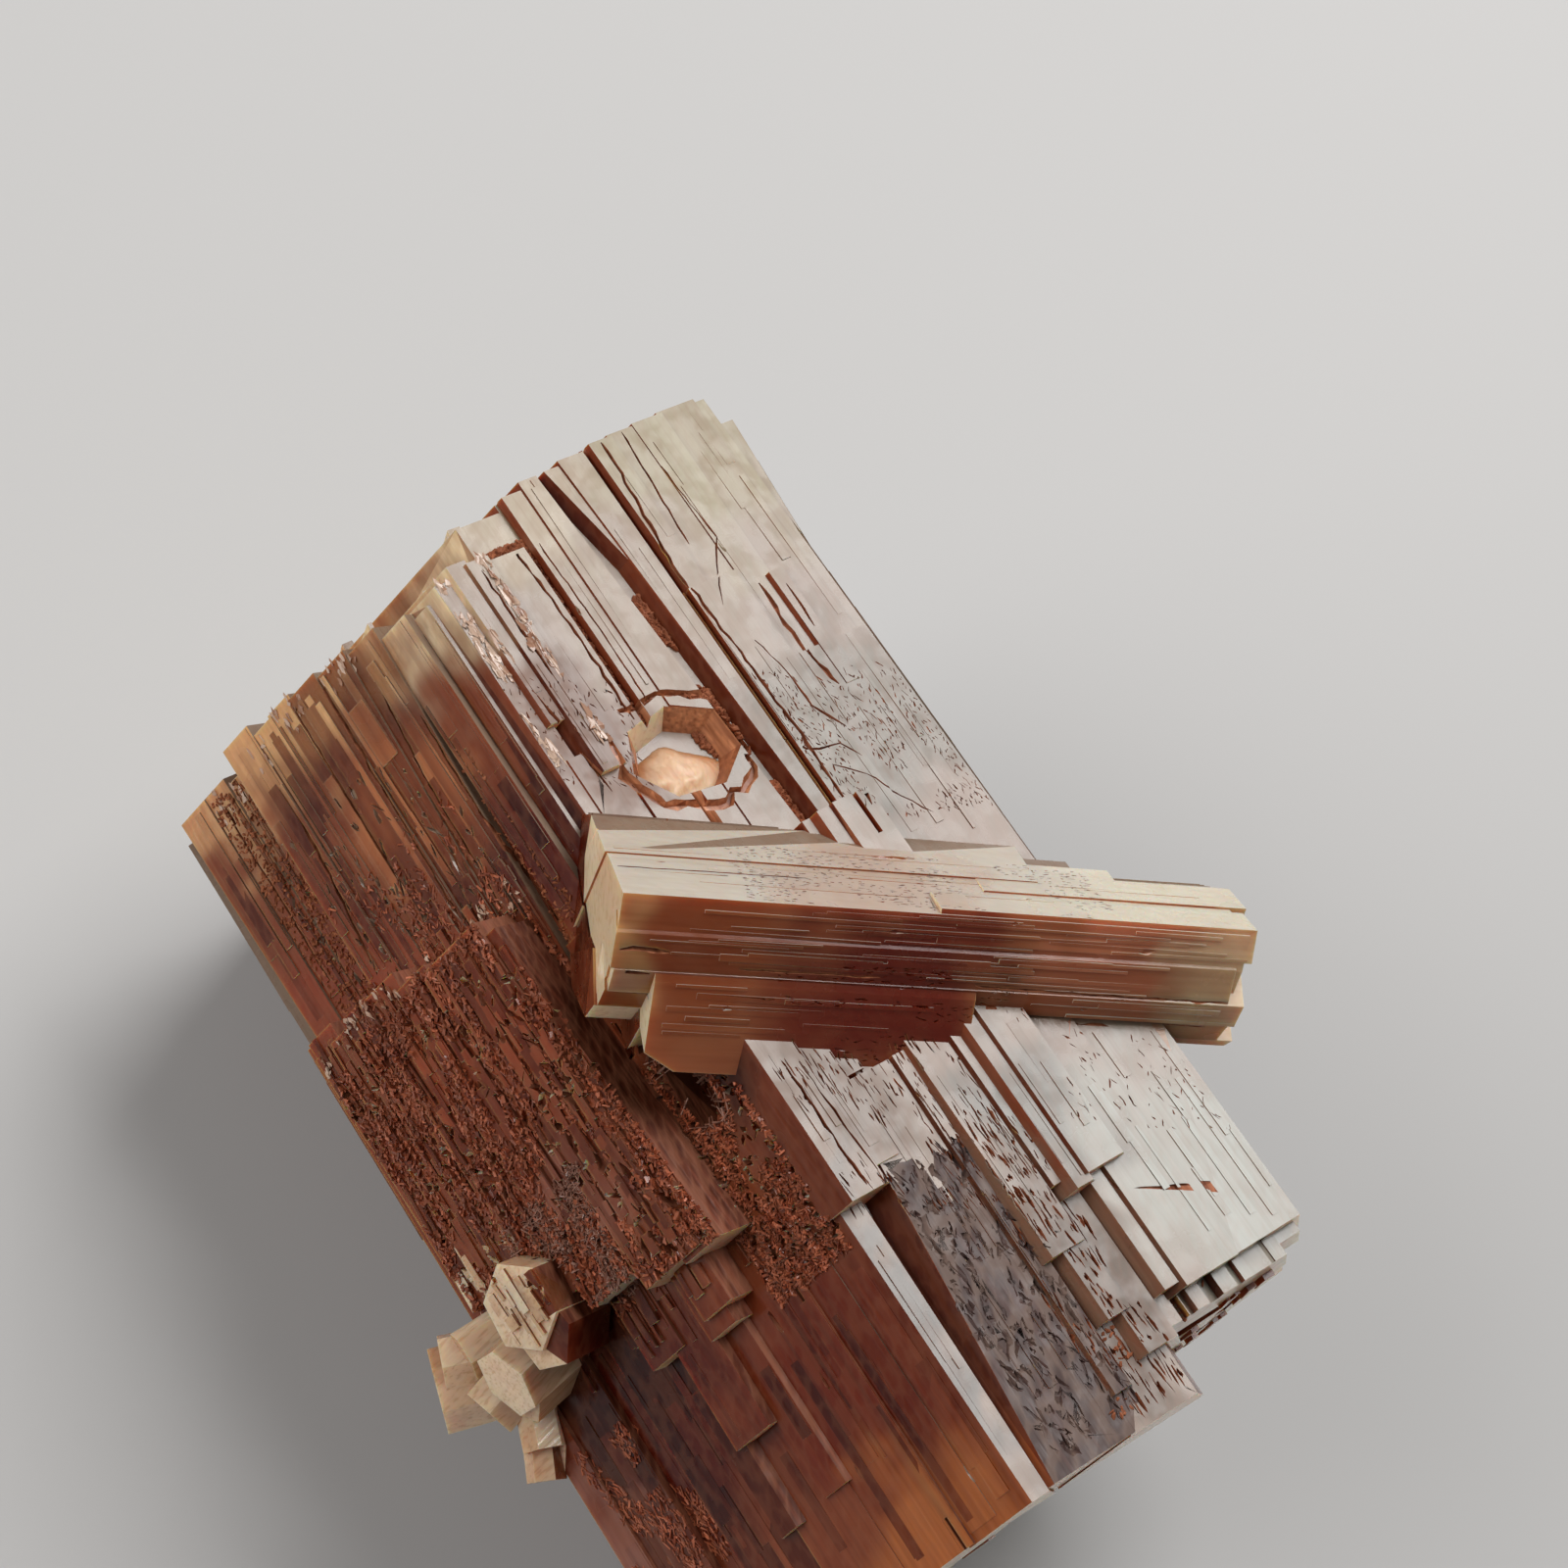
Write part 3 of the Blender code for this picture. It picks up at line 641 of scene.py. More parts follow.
def place_group() -> bpy.types.NodeTree:
    """Gives the object's own place in millimetres: plain, along the crystal, and wavering."""
    group, graph = new_group("place_in_millimetres", (("Turn", "NodeSocketFloat", 0.0),),
                             (("Place", "NodeSocketVector"), ("Grown", "NodeSocketVector"),
                              ("Wavering", "NodeSocketVector")))
    start = graph.node("NodeGroupInput")
    end = graph.node("NodeGroupOutput")
    here = graph.node("ShaderNodeTexCoord").outputs["Object"]
    scaled = graph.vector("MULTIPLY", here, (1.0 / MM, 1.0 / MM, 1.0 / MM))
    turned = graph.node("ShaderNodeVectorRotate", rotation_type="Z_AXIS")
    graph.feed(turned.inputs["Vector"], scaled)
    graph.feed(turned.inputs["Angle"], start.outputs["Turn"])
    waver = graph.node("ShaderNodeTexNoise", normalize=True)
    graph.feed(waver.inputs["Vector"], scaled)
    waver.inputs["Scale"].default_value = 0.4
    waver.inputs["Detail"].default_value = 1.0
    offset = graph.vector("SUBTRACT", waver.outputs["Color"], (0.5, 0.5, 0.5))
    strong = graph.vector("MULTIPLY", offset, (7.0, 6.0, 6.0))
    graph.feed(end.inputs["Place"], scaled)
    graph.feed(end.inputs["Grown"], turned.outputs["Vector"])
    graph.feed(end.inputs["Wavering"], graph.vector("ADD", scaled, strong))
    return group


def streak_group() -> bpy.types.NodeTree:
    """Gives streaks that follow the crystal's axis, broad and fine."""
    group, graph = new_group(
        "growth_streaks",
        (("Place", "NodeSocketVector", None), ("Fineness", "NodeSocketFloat", 1.0)),
        (("Broad", "NodeSocketFloat"), ("Fine", "NodeSocketFloat")))
    start = graph.node("NodeGroupInput")
    end = graph.node("NodeGroupOutput")
    drawn = graph.vector("MULTIPLY", start.outputs["Place"], (0.05, 1.0, 1.0))
    finer = graph.node("ShaderNodeVectorMath", operation="SCALE")
    graph.feed(finer.inputs[0], drawn)
    graph.feed(finer.inputs["Scale"], start.outputs["Fineness"])
    graph.feed(end.inputs["Broad"], graph.noise(finer.outputs["Vector"], 0.7, 1.0))
    graph.feed(end.inputs["Fine"], graph.noise(finer.outputs["Vector"], 4.2, 1.0, 0.6))
    return group


def etch_group() -> bpy.types.NodeTree:
    """Gives the small dissolved dimples and a soft cloudiness."""
    group, graph = new_group(
        "etching", (("Place", "NodeSocketVector", None), ("Scale", "NodeSocketFloat", 3.0)),
        (("Dimples", "NodeSocketFloat"), ("Cloud", "NodeSocketFloat")))
    start = graph.node("NodeGroupInput")
    end = graph.node("NodeGroupOutput")
    turned = graph.node("ShaderNodeVectorRotate", rotation_type="Z_AXIS")
    graph.feed(turned.inputs["Vector"], start.outputs["Place"])
    turned.inputs["Angle"].default_value = math.radians(24.0)
    drawn = graph.vector("MULTIPLY", turned.outputs["Vector"], (0.35, 1.2, 1.0))
    cells = graph.node("ShaderNodeTexVoronoi", feature="F1")
    graph.feed(cells.inputs["Vector"], drawn)
    graph.feed(cells.inputs["Scale"], start.outputs["Scale"])
    graph.feed(end.inputs["Dimples"], cells.outputs["Distance"])
    graph.feed(end.inputs["Cloud"], graph.noise(start.outputs["Place"], 0.9, 2.0, 0.62))
    return group


def zone_group() -> bpy.types.NodeTree:
    """Gives a soft round zone about a point, in millimetres."""
    group, graph = new_group(
        "soft_zone",
        (("Place", "NodeSocketVector", None), ("Centre", "NodeSocketVector", None),
         ("Radii", "NodeSocketVector", None), ("Strength", "NodeSocketFloat", 1.0)),
        (("Mask", "NodeSocketFloat"),))
    start = graph.node("NodeGroupInput")
    end = graph.node("NodeGroupOutput")
    away = graph.vector("SUBTRACT", start.outputs["Place"], start.outputs["Centre"])
    shared = graph.vector("DIVIDE", away, start.outputs["Radii"])
    reach = graph.vector("LENGTH", shared, (0.0, 0.0, 0.0))
    mask = graph.spread(reach, 0.45, 1.35, 1.0, 0.0)
    graph.feed(end.inputs["Mask"], graph.math("MULTIPLY", mask, start.outputs["Strength"]))
    return group


def on_facet(facet: str, along: float, across: float) -> tuple[float, float, float]:
    """Gives a place on a facet in the model's millimetres."""
    place = FACETS[facet].point(along, across) / MM
    return (place.x, place.y, place.z)


@dataclass(frozen=True)
class Zone:
    """A soft stretch of the crystal with a colour, and perhaps a roughness, laid over its finish.
    Most zones are the crystal's own colour zoning; a few are painted shade, painted sheen and
    painted glow.
    """

    colour: tuple[float, float, float]
    centre: tuple[float, float, float]
    radii: tuple[float, float, float]
    rough: float | None = None
    strength: float = 0.92


@dataclass(frozen=True)
class StoneFinish:
    """The look of one kind of face of the crystal.

    streak multiplies the colour in the deep bands, lift in the bright ones, and dust is the
    colour of the clay that lies in the dimples.
    """

    name: str
    colour: tuple[float, float, float]
    streak: tuple[float, float, float] = (0.5, 0.35, 0.25)
    lift: tuple[float, float, float] = (1.5, 1.6, 1.7)
    dust: tuple[float, float, float] = (0.30, 0.11, 0.055)
    zones: tuple[Zone, ...] = ()
    turn: float = 0.0
    roughness: float = 0.28
    streak_share: float = 0.5
    lift_share: float = 0.35
    dust_share: float = 0.2
    subsurface: float = 0.5
    depth: float = 1.6
    bump: float = 0.03
    etch: float = 0.5
    etch_scale: float = 2.6
    fineness: float = 1.0
    specular: float = 0.5

    def build(self, groups: dict[str, bpy.types.NodeTree]) -> bpy.types.Material:
        """Makes the material.

        Args:
            groups: the shared node groups by name.

        Returns:
            The material.
        """
        material = bpy.data.materials.new(self.name)
        material.use_nodes = True
        graph = Graph(material.node_tree)
        shader = material.node_tree.nodes["Principled BSDF"]
        place = graph.node("ShaderNodeGroup", node_tree=groups["place"])
        place.inputs["Turn"].default_value = math.radians(-self.turn)
        grown = place.outputs["Grown"]
        streaks = graph.node("ShaderNodeGroup", node_tree=groups["streaks"])
        graph.feed(streaks.inputs["Place"], grown)
        streaks.inputs["Fineness"].default_value = self.fineness
        etching = graph.node("ShaderNodeGroup", node_tree=groups["etching"])
        graph.feed(etching.inputs["Place"], grown)
        etching.inputs["Scale"].default_value = self.etch_scale
        tone = graph.node("ShaderNodeAttribute", attribute_name="tone", attribute_type="GEOMETRY")
        colour, rough = self._zoned(graph, groups["zone"], place.outputs["Wavering"])
        band = graph.math("ADD", graph.math("MULTIPLY", tone.outputs["Fac"], 0.7),
                          graph.math("MULTIPLY", streaks.outputs["Broad"], 0.7))
        deep = graph.spread(band, 0.5, 0.95, 0.0, self.streak_share)
        colour = graph.mix(deep, colour, (*self.streak, 1.0), "MULTIPLY")
        bright = graph.spread(streaks.outputs["Fine"], 0.5, 0.66, 0.0, self.lift_share)
        colour = graph.mix(bright, colour, (*self.lift, 1.0), "MULTIPLY")
        dark = graph.spread(streaks.outputs["Fine"], 0.34, 0.46, self.lift_share, 0.0)
        colour = graph.mix(dark, colour, (*self.streak, 1.0), "MULTIPLY")
        dimple = graph.math("MULTIPLY", etching.outputs["Dimples"], etching.outputs["Cloud"])
        dusty = graph.spread(dimple, 0.16, 0.34, 0.0, self.dust_share)
        colour = graph.mix(dusty, colour, (*self.dust, 1.0))
        graph.feed(shader.inputs["Base Color"], colour)
        uneven = graph.spread(etching.outputs["Cloud"], 0.35, 0.65, 0.82, 1.2)
        graph.feed(shader.inputs["Roughness"], graph.math("MULTIPLY", rough, uneven))
        pitted = graph.math("MULTIPLY", etching.outputs["Dimples"],
                            graph.math("MULTIPLY", rough, self.etch * 2.0))
        relief = graph.math("ADD", graph.math("MULTIPLY", streaks.outputs["Fine"], 0.6), pitted)
        bump = graph.node("ShaderNodeBump")
        bump.inputs["Strength"].default_value = 1.0
        bump.inputs["Distance"].default_value = self.bump * MM
        graph.feed(bump.inputs["Height"], relief)
        graph.feed(shader.inputs["Normal"], bump.outputs["Normal"])
        shader.inputs["IOR"].default_value = 1.6
        shader.inputs["Specular IOR Level"].default_value = self.specular
        shader.inputs["Subsurface Weight"].default_value = self.subsurface
        shader.inputs["Subsurface Radius"].default_value = (1.0, 0.42, 0.2)
        shader.inputs["Subsurface Scale"].default_value = self.depth * MM
        return material

    def _zoned(self, graph: Graph, group: bpy.types.NodeTree,
               place: bpy.types.NodeSocket) -> tuple[object, object]:
        """Lays the zones over the plain colour and roughness."""
        colour: object = (*self.colour, 1.0)
        rough: object = self.roughness
        for zone in self.zones:
            made = graph.node("ShaderNodeGroup", node_tree=group)
            graph.feed(made.inputs["Place"], place)
            made.inputs["Centre"].default_value = zone.centre
            made.inputs["Radii"].default_value = zone.radii
            made.inputs["Strength"].default_value = zone.strength
            colour = graph.mix(made.outputs["Mask"], colour, (*zone.colour, 1.0))
            if zone.rough is not None:
                change = graph.math("SUBTRACT", zone.rough, rough)
                rough = graph.math("ADD", rough, graph.math("MULTIPLY", change,
                                                            made.outputs["Mask"]))
        return colour, rough


# Colour zones of the main prism's top. The top finish and these zones are partly the crystal's own
# colour zoning and partly painted sheen: they are lighter and greyer than the sides, standing in
# for the softbox's reflection.
TOP_ZONES = (
    Zone((0.33, 0.27, 0.15), on_facet("top", -6.0, 14.0), (6.5, 6.5, 9.0), 0.36),
    Zone((0.40, 0.31, 0.20), on_facet("top", -6.5, 6.0), (4.0, 4.0, 9.0), 0.32),
    Zone((0.28, 0.20, 0.13), on_facet("top", 0.0, 9.0), (5.0, 4.5, 9.0), 0.3),
    Zone((0.17, 0.14, 0.10), on_facet("top", 9.0, 13.0), (5.0, 6.0, 9.0), 0.34),
    Zone((0.20, 0.11, 0.075), on_facet("top", 4.0, 2.5), (4.0, 3.0, 9.0), 0.45),
    Zone((0.20, 0.14, 0.10), on_facet("top", 22.0, 3.0), (4.5, 4.0, 9.0), 0.4),
    Zone((0.10, 0.08, 0.06), on_facet("top", 31.0, 0.7), (7.0, 1.3, 9.0), 0.24),
    Zone((0.12, 0.075, 0.045), on_facet("top", 34.0, 7.0), (6.0, 2.2, 9.0), 0.42),
    Zone((0.13, 0.11, 0.08), on_facet("top", 26.5, 9.0), (3.5, 2.5, 9.0), 0.3),
    Zone((0.30, 0.30, 0.25), on_facet("top", 32.0, 13.5), (7.0, 4.5, 9.0), 0.22),
)

SIDE_ZONES = (
    Zone((0.95, 0.76, 0.48), on_facet("front", -6.5, 0.5), (5.5, 4.5, 4.5), 0.22),
    Zone((0.74, 0.42, 0.19), on_facet("front", -6.5, 8.0), (4.5, 6.5, 7.5), 0.28),
    Zone((0.66, 0.34, 0.16), on_facet("front", -5.0, 15.0), (3.0, 4.0, 5.0), 0.3),
    Zone((0.50, 0.17, 0.065), on_facet("front", 1.5, 6.0), (3.5, 3.0, 3.5), 0.36),
    # Near-black under the second prism's overhanging head end: painted shadow.
    Zone((0.085, 0.006, 0.002), on_facet("front", 8.0, 2.0), (4.5, 2.5, 3.0), 0.22),
    Zone((0.26, 0.05, 0.020), on_facet("front", 5.0, 14.0), (3.5, 4.0, 4.0), 0.3),
    Zone((0.30, 0.06, 0.022), on_facet("front", 13.0, 9.0), (6.0, 5.0, 7.0), 0.4),
    Zone((0.30, 0.10, 0.065), on_facet("front", 20.5, 9.0), (3.0, 3.0, 4.0), 0.5),
    # Near-black in the hollow beside the overgrowth: painted shade.
    Zone((0.04, 0.007, 0.003), on_facet("front", 19.0, 2.0), (3.5, 2.5, 2.5), 0.5),
    Zone((0.075, 0.004, 0.0015), on_facet("front", 28.0, 12.0), (6.0, 5.0, 6.0), 0.25),
    Zone((0.26, 0.11, 0.08), on_facet("front", 31.0, 15.8), (3.5, 2.0, 2.5), 0.5),
    Zone((0.14, 0.014, 0.003), on_facet("front", 31.0, 3.5), (5.0, 3.5, 4.5), 0.22),
    # Orange at the foot end by the ridge: partly the crystal's own colour, partly a painted glow
    # of light through the end.
    Zone((0.44, 0.13, 0.035), on_facet("front", 38.0, 3.0), (4.0, 4.0, 5.0), 0.22),
    Zone((0.22, 0.12, 0.075), on_facet("top", 32.0, 8.0), (9.0, 6.0, 2.6), 0.3),
)

BAR_ZONES = (
    Zone((0.66, 0.38, 0.16), (-2.6, -11.2, 31.0), (2.6, 2.6, 6.0), 0.22),
    Zone((0.30, 0.07, 0.020), (0.3, -8.2, 31.0), (2.6, 3.5, 6.0), 0.22),
    Zone((0.15, 0.010, 0.004), (4.6, -2.0, 31.0), (4.0, 6.0, 6.0), 0.28),
    Zone((0.50, 0.17, 0.085), (8.6, 5.8, 31.0), (2.6, 3.6, 6.0), 0.22),
    Zone((0.66, 0.47, 0.28), (11.6, 11.0, 31.0), (3.0, 4.4, 6.0), 0.24),
)

# Pale zones on the second prism's top: partly its own colour, partly painted sheen.
BAR_TOP_ZONES = (
    Zone((0.52, 0.38, 0.30), (0.8, -1.0, 33.0), (3.6, 4.5, 6.0), 0.36),
    Zone((0.72, 0.66, 0.52), (7.5, 10.0, 33.0), (4.5, 6.0, 6.0), 0.26),
)

FINISHES = (
    # The top faces' lighter, greyer colour is partly their own tone and partly painted sheen.
    StoneFinish("stone_top", (0.27, 0.19, 0.135), streak=(0.78, 0.66, 0.56),
                lift=(1.15, 1.16, 1.18), zones=TOP_ZONES, streak_share=0.5, lift_share=0.25,
                dust_share=0.1, subsurface=0.0, roughness=0.27, bump=0.014),
    StoneFinish("etched", (0.075, 0.042, 0.036), streak=(0.7, 0.55, 0.5),
                lift=(1.8, 1.7, 1.7), roughness=0.55, streak_share=0.4, lift_share=0.5,
                dust=(0.20, 0.13, 0.10), dust_share=0.6, subsurface=0.0, etch=0.9,
                bump=0.07, etch_scale=1.5, specular=0.4),
    StoneFinish("ledge", (0.20, 0.06, 0.03), streak=(0.5, 0.35, 0.28), lift=(1.8, 1.9, 2.0),
                roughness=0.6, streak_share=0.8, lift_share=0.6, dust_share=0.5,
                subsurface=0.0, bump=0.06, specular=0.3),
    StoneFinish("stone_side", (0.22, 0.05, 0.018), streak=(0.30, 0.14, 0.08),
                lift=(1.7, 1.9, 2.0), zones=SIDE_ZONES, streak_share=0.85, lift_share=0.16,
                dust_share=0.15, subsurface=0.4, depth=2.2, roughness=0.2, specular=0.28,
                bump=0.018),
    StoneFinish("bar_side", (0.34, 0.11, 0.045), streak=(0.5, 0.32, 0.22),
                lift=(1.5, 1.6, 1.7), zones=BAR_ZONES, turn=BAR_TURN, streak_share=0.45,
                lift_share=0.12, dust_share=0.06, depth=2.2, roughness=0.16, specular=0.4,
                bump=0.010),
    # The second prism's upward faces are far paler than its sides: partly their own colour, partly
    # painted sheen.
    StoneFinish("bar_top", (0.60, 0.53, 0.44), streak=(0.88, 0.82, 0.76),
                lift=(1.08, 1.09, 1.1), zones=BAR_TOP_ZONES, turn=BAR_TURN,
                streak_share=0.35, lift_share=0.2, dust_share=0.06, subsurface=0.4,
                roughness=0.22, bump=0.010),
    StoneFinish("stone_end", (0.95, 0.78, 0.55), streak=(0.75, 0.6, 0.46),
                lift=(1.04, 1.05, 1.06), streak_share=0.5, dust_share=0.05, depth=2.4,
                roughness=0.18, bump=0.015),
    StoneFinish("small_crystal", (0.84, 0.62, 0.42), streak=(0.6, 0.42, 0.3),
                lift=(1.1, 1.15, 1.2), turn=105.0, streak_share=0.7, dust_share=0.1,
                fineness=1.4, depth=1.6, roughness=0.18, bump=0.02),
    StoneFinish("small_end", (0.19, 0.062, 0.025), streak=(0.6, 0.42, 0.3),
                lift=(1.4, 1.5, 1.6), streak_share=0.5, dust_share=0.3, depth=1.6,
                roughness=0.3, bump=0.04, specular=0.35),
    StoneFinish("crust", (0.34, 0.085, 0.036), streak=(0.45, 0.3, 0.25), lift=(2.0, 2.4, 2.8),
                roughness=0.3, streak_share=0.9, lift_share=0.7, dust_share=0.3,
                subsurface=0.0, bump=0.01),
    StoneFinish("clay", (0.36, 0.12, 0.055), streak=(0.5, 0.4, 0.35), lift=(1.5, 1.6, 1.7),
                roughness=0.75, streak_share=0.8, lift_share=0.6, subsurface=0.0,
                specular=0.25, bump=0.05, etch=0.8),
    StoneFinish("rim", (0.62, 0.26, 0.12), streak=(0.4, 0.25, 0.18), lift=(1.6, 1.7, 1.8),
                roughness=0.5, streak_share=0.8, lift_share=0.5, dust_share=0.4,
                subsurface=0.0, bump=0.05),
    # The flakes' pale finish: partly the broken scales' own whiteness, partly painted glints.
    StoneFinish("broken_with_painted_glints", (0.62, 0.44, 0.33), streak=(0.6, 0.42, 0.34), lift=(1.2, 1.25, 1.3),
                roughness=0.2, streak_share=0.9, lift_share=0.4, dust_share=0.1,
                subsurface=0.0, bump=0.01),
    StoneFinish("needle", (0.36, 0.19, 0.14), streak=(0.6, 0.45, 0.4), lift=(1.5, 1.6, 1.7),
                roughness=0.3, streak_share=0.9, subsurface=0.0, bump=0.01),
    StoneFinish("pit_filling", (0.84, 0.56, 0.37), streak=(0.62, 0.34, 0.18),
                lift=(1.04, 1.06, 1.08), dust=(0.5, 0.2, 0.08), roughness=0.5,
                streak_share=0.95, lift_share=0.2, dust_share=0.15, subsurface=0.5, depth=1.2,
                specular=0.4, bump=0.03, etch_scale=4.0),
)

# Thin lamellae that stand on the faces.
LAMELLAE = (
    Field("top", -7.8, 12.0, 0.4, 16.6, 46, (3.0, 9.0), (0.10, 0.6), (0.01, 0.03), sets=2),
    Field("top", 20.0, 38.0, 0.5, 16.6, 50, (2.0, 7.0), (0.1, 0.5), (0.01, 0.05), sets=2),
    Field("front", -5.6, 9.0, 0.4, 16.6, 200, (2.5, 11.0), (0.1, 1.0), (0.02, 0.09), sets=4),
    Field("front", 7.0, 25.0, 3.5, 16.5, 700, (0.5, 3.6), (0.08, 0.5), (0.03, 0.2), sets=6,
          yaw=2.5, tilt=1.5),
    Field("front", 20.0, 38.4, 0.4, 16.6, 110, (3.0, 12.0), (0.1, 0.7), (0.008, 0.03), sets=3),
    Field("lower_front", -5.0, 38.0, 0.5, 16.5, 210, (3.0, 12.0), (0.12, 0.7), (0.02, 0.08),
          sets=3),
    Field("lower_back", -7.0, 38.0, 0.5, 16.5, 210, (3.0, 12.0), (0.12, 0.7), (0.02, 0.08),
          sets=3),
    Field("back", -7.0, 38.0, 0.5, 16.5, 210, (3.0, 12.0), (0.12, 0.7), (0.02, 0.08), sets=3),
    Field("bar_top", 0.2, 25.6, 0.1, 5.0, 10, (3.0, 9.0), (0.06, 0.3), (0.01, 0.02), sets=2),
    Field("bar_brow", 0.2, 25.6, 0.1, 2.4, 30, (3.0, 10.0), (0.05, 0.16), (0.02, 0.05), sets=2),
    Field("bar_front", 0.2, 25.6, 0.1, 5.2, 20, (4.0, 12.0), (0.05, 0.3), (0.015, 0.04),
          sets=2),
    Field("bar_under", 0.2, 25.0, 0.1, 2.8, 30, (2.0, 8.0), (0.1, 0.5), (0.02, 0.08), sets=2),
    Field("bar_rear", 0.2, 25.0, 0.1, 2.8, 30, (2.0, 8.0), (0.1, 0.5), (0.02, 0.08), sets=2),
    Field("companion", 2.0, 18.0, 0.1, 3.6, 16, (2.5, 8.0), (0.06, 0.25), (0.015, 0.04),
          sets=2),
    Field("head_end", -13.0, 13.0, -13.0, 13.0, 260, (0.5, 4.0), (0.15, 0.7), (0.05, 0.45),
          yaw=2.0, tilt=3.0, sets=4),
    Field("foot_end", -13.0, 13.0, -13.0, 13.0, 260, (0.5, 4.0), (0.15, 0.7), (0.04, 0.3),
          yaw=2.0, tilt=3.0, sets=4),
)

# Dissolved pits, closer together beside the second prism. Most are shallow nicks that run
# into each other, which is why each field has several sets.
PITS = (
    Field("top", 1.5, 9.5, 10.6, 16.6, 800, (0.12, 0.7), (0.03, 0.10), (0.03, 0.09),
          skew=0.3, bias=0.5, yaw=38.0, sets=3, patch=-0.15),
    Field("top", 0.0, 5.5, 0.6, 5.0, 240, (0.12, 0.6), (0.03, 0.10), (0.03, 0.10),
          skew=0.5, bias=0.5, yaw=38.0, sets=2, patch=-0.1),
    Field("top", 17.5, 26.0, 0.6, 8.5, 420, (0.2, 1.4), (0.03, 0.12), (0.05, 0.2),
          skew=0.5, bias=1.4, yaw=9.0, sets=3, patch=-0.05),
    Field("top", 12.0, 22.0, 9.5, 16.2, 240, (0.12, 0.7), (0.03, 0.1), (0.03, 0.1),
          skew=0.57, bias=2.2, yaw=38.0, sets=2, patch=0.05),
    Field("top", 26.0, 38.0, 2.2, 6.4, 760, (0.4, 1.8), (0.14, 0.5), (0.02, 0.07),
          yaw=26.0, sets=5, patch=-0.3, finish="etched"),
    Field("top", 26.0, 38.0, 5.4, 8.6, 260, (0.3, 1.8), (0.05, 0.18), (0.05, 0.25),
          yaw=6.0, sets=3, patch=0.0),
    Field("bar_top", 5.0, 20.0, 0.2, 4.8, 520, (0.1, 0.5), (0.025, 0.08), (0.03, 0.07),
          yaw=18.0, sets=2, patch=-0.1),
    Field("bar_front", 6.5, 16.0, 0.6, 5.0, 360, (0.16, 0.8), (0.04, 0.14), (0.04, 0.12),
          yaw=14.0, sets=3, patch=-0.1, finish="bar_side"),
    Field("companion", 6.0, 17.0, 0.2, 3.4, 220, (0.16, 0.8), (0.04, 0.14), (0.04, 0.12),
          yaw=24.0, sets=2, patch=-0.1, finish="bar_side"),
    Field("front", -1.0, 8.5, 4.0, 14.0, 200, (0.3, 1.4), (0.06, 0.28), (0.04, 0.16),
          bias=0.6, yaw=30.0, sets=2, patch=0.0, finish="stone_side"),
    Field("front", 9.0, 24.0, 3.6, 16.4, 360, (0.4, 1.5), (0.12, 0.5), (0.08, 0.35),
          yaw=60.0, sets=3, patch=0.05, finish="stone_side"),
    Field("front", 17.0, 27.0, 0.3, 3.6, 220, (0.3, 1.1), (0.1, 0.4), (0.08, 0.35),
          yaw=60.0, sets=4, finish="stone_side"),
)

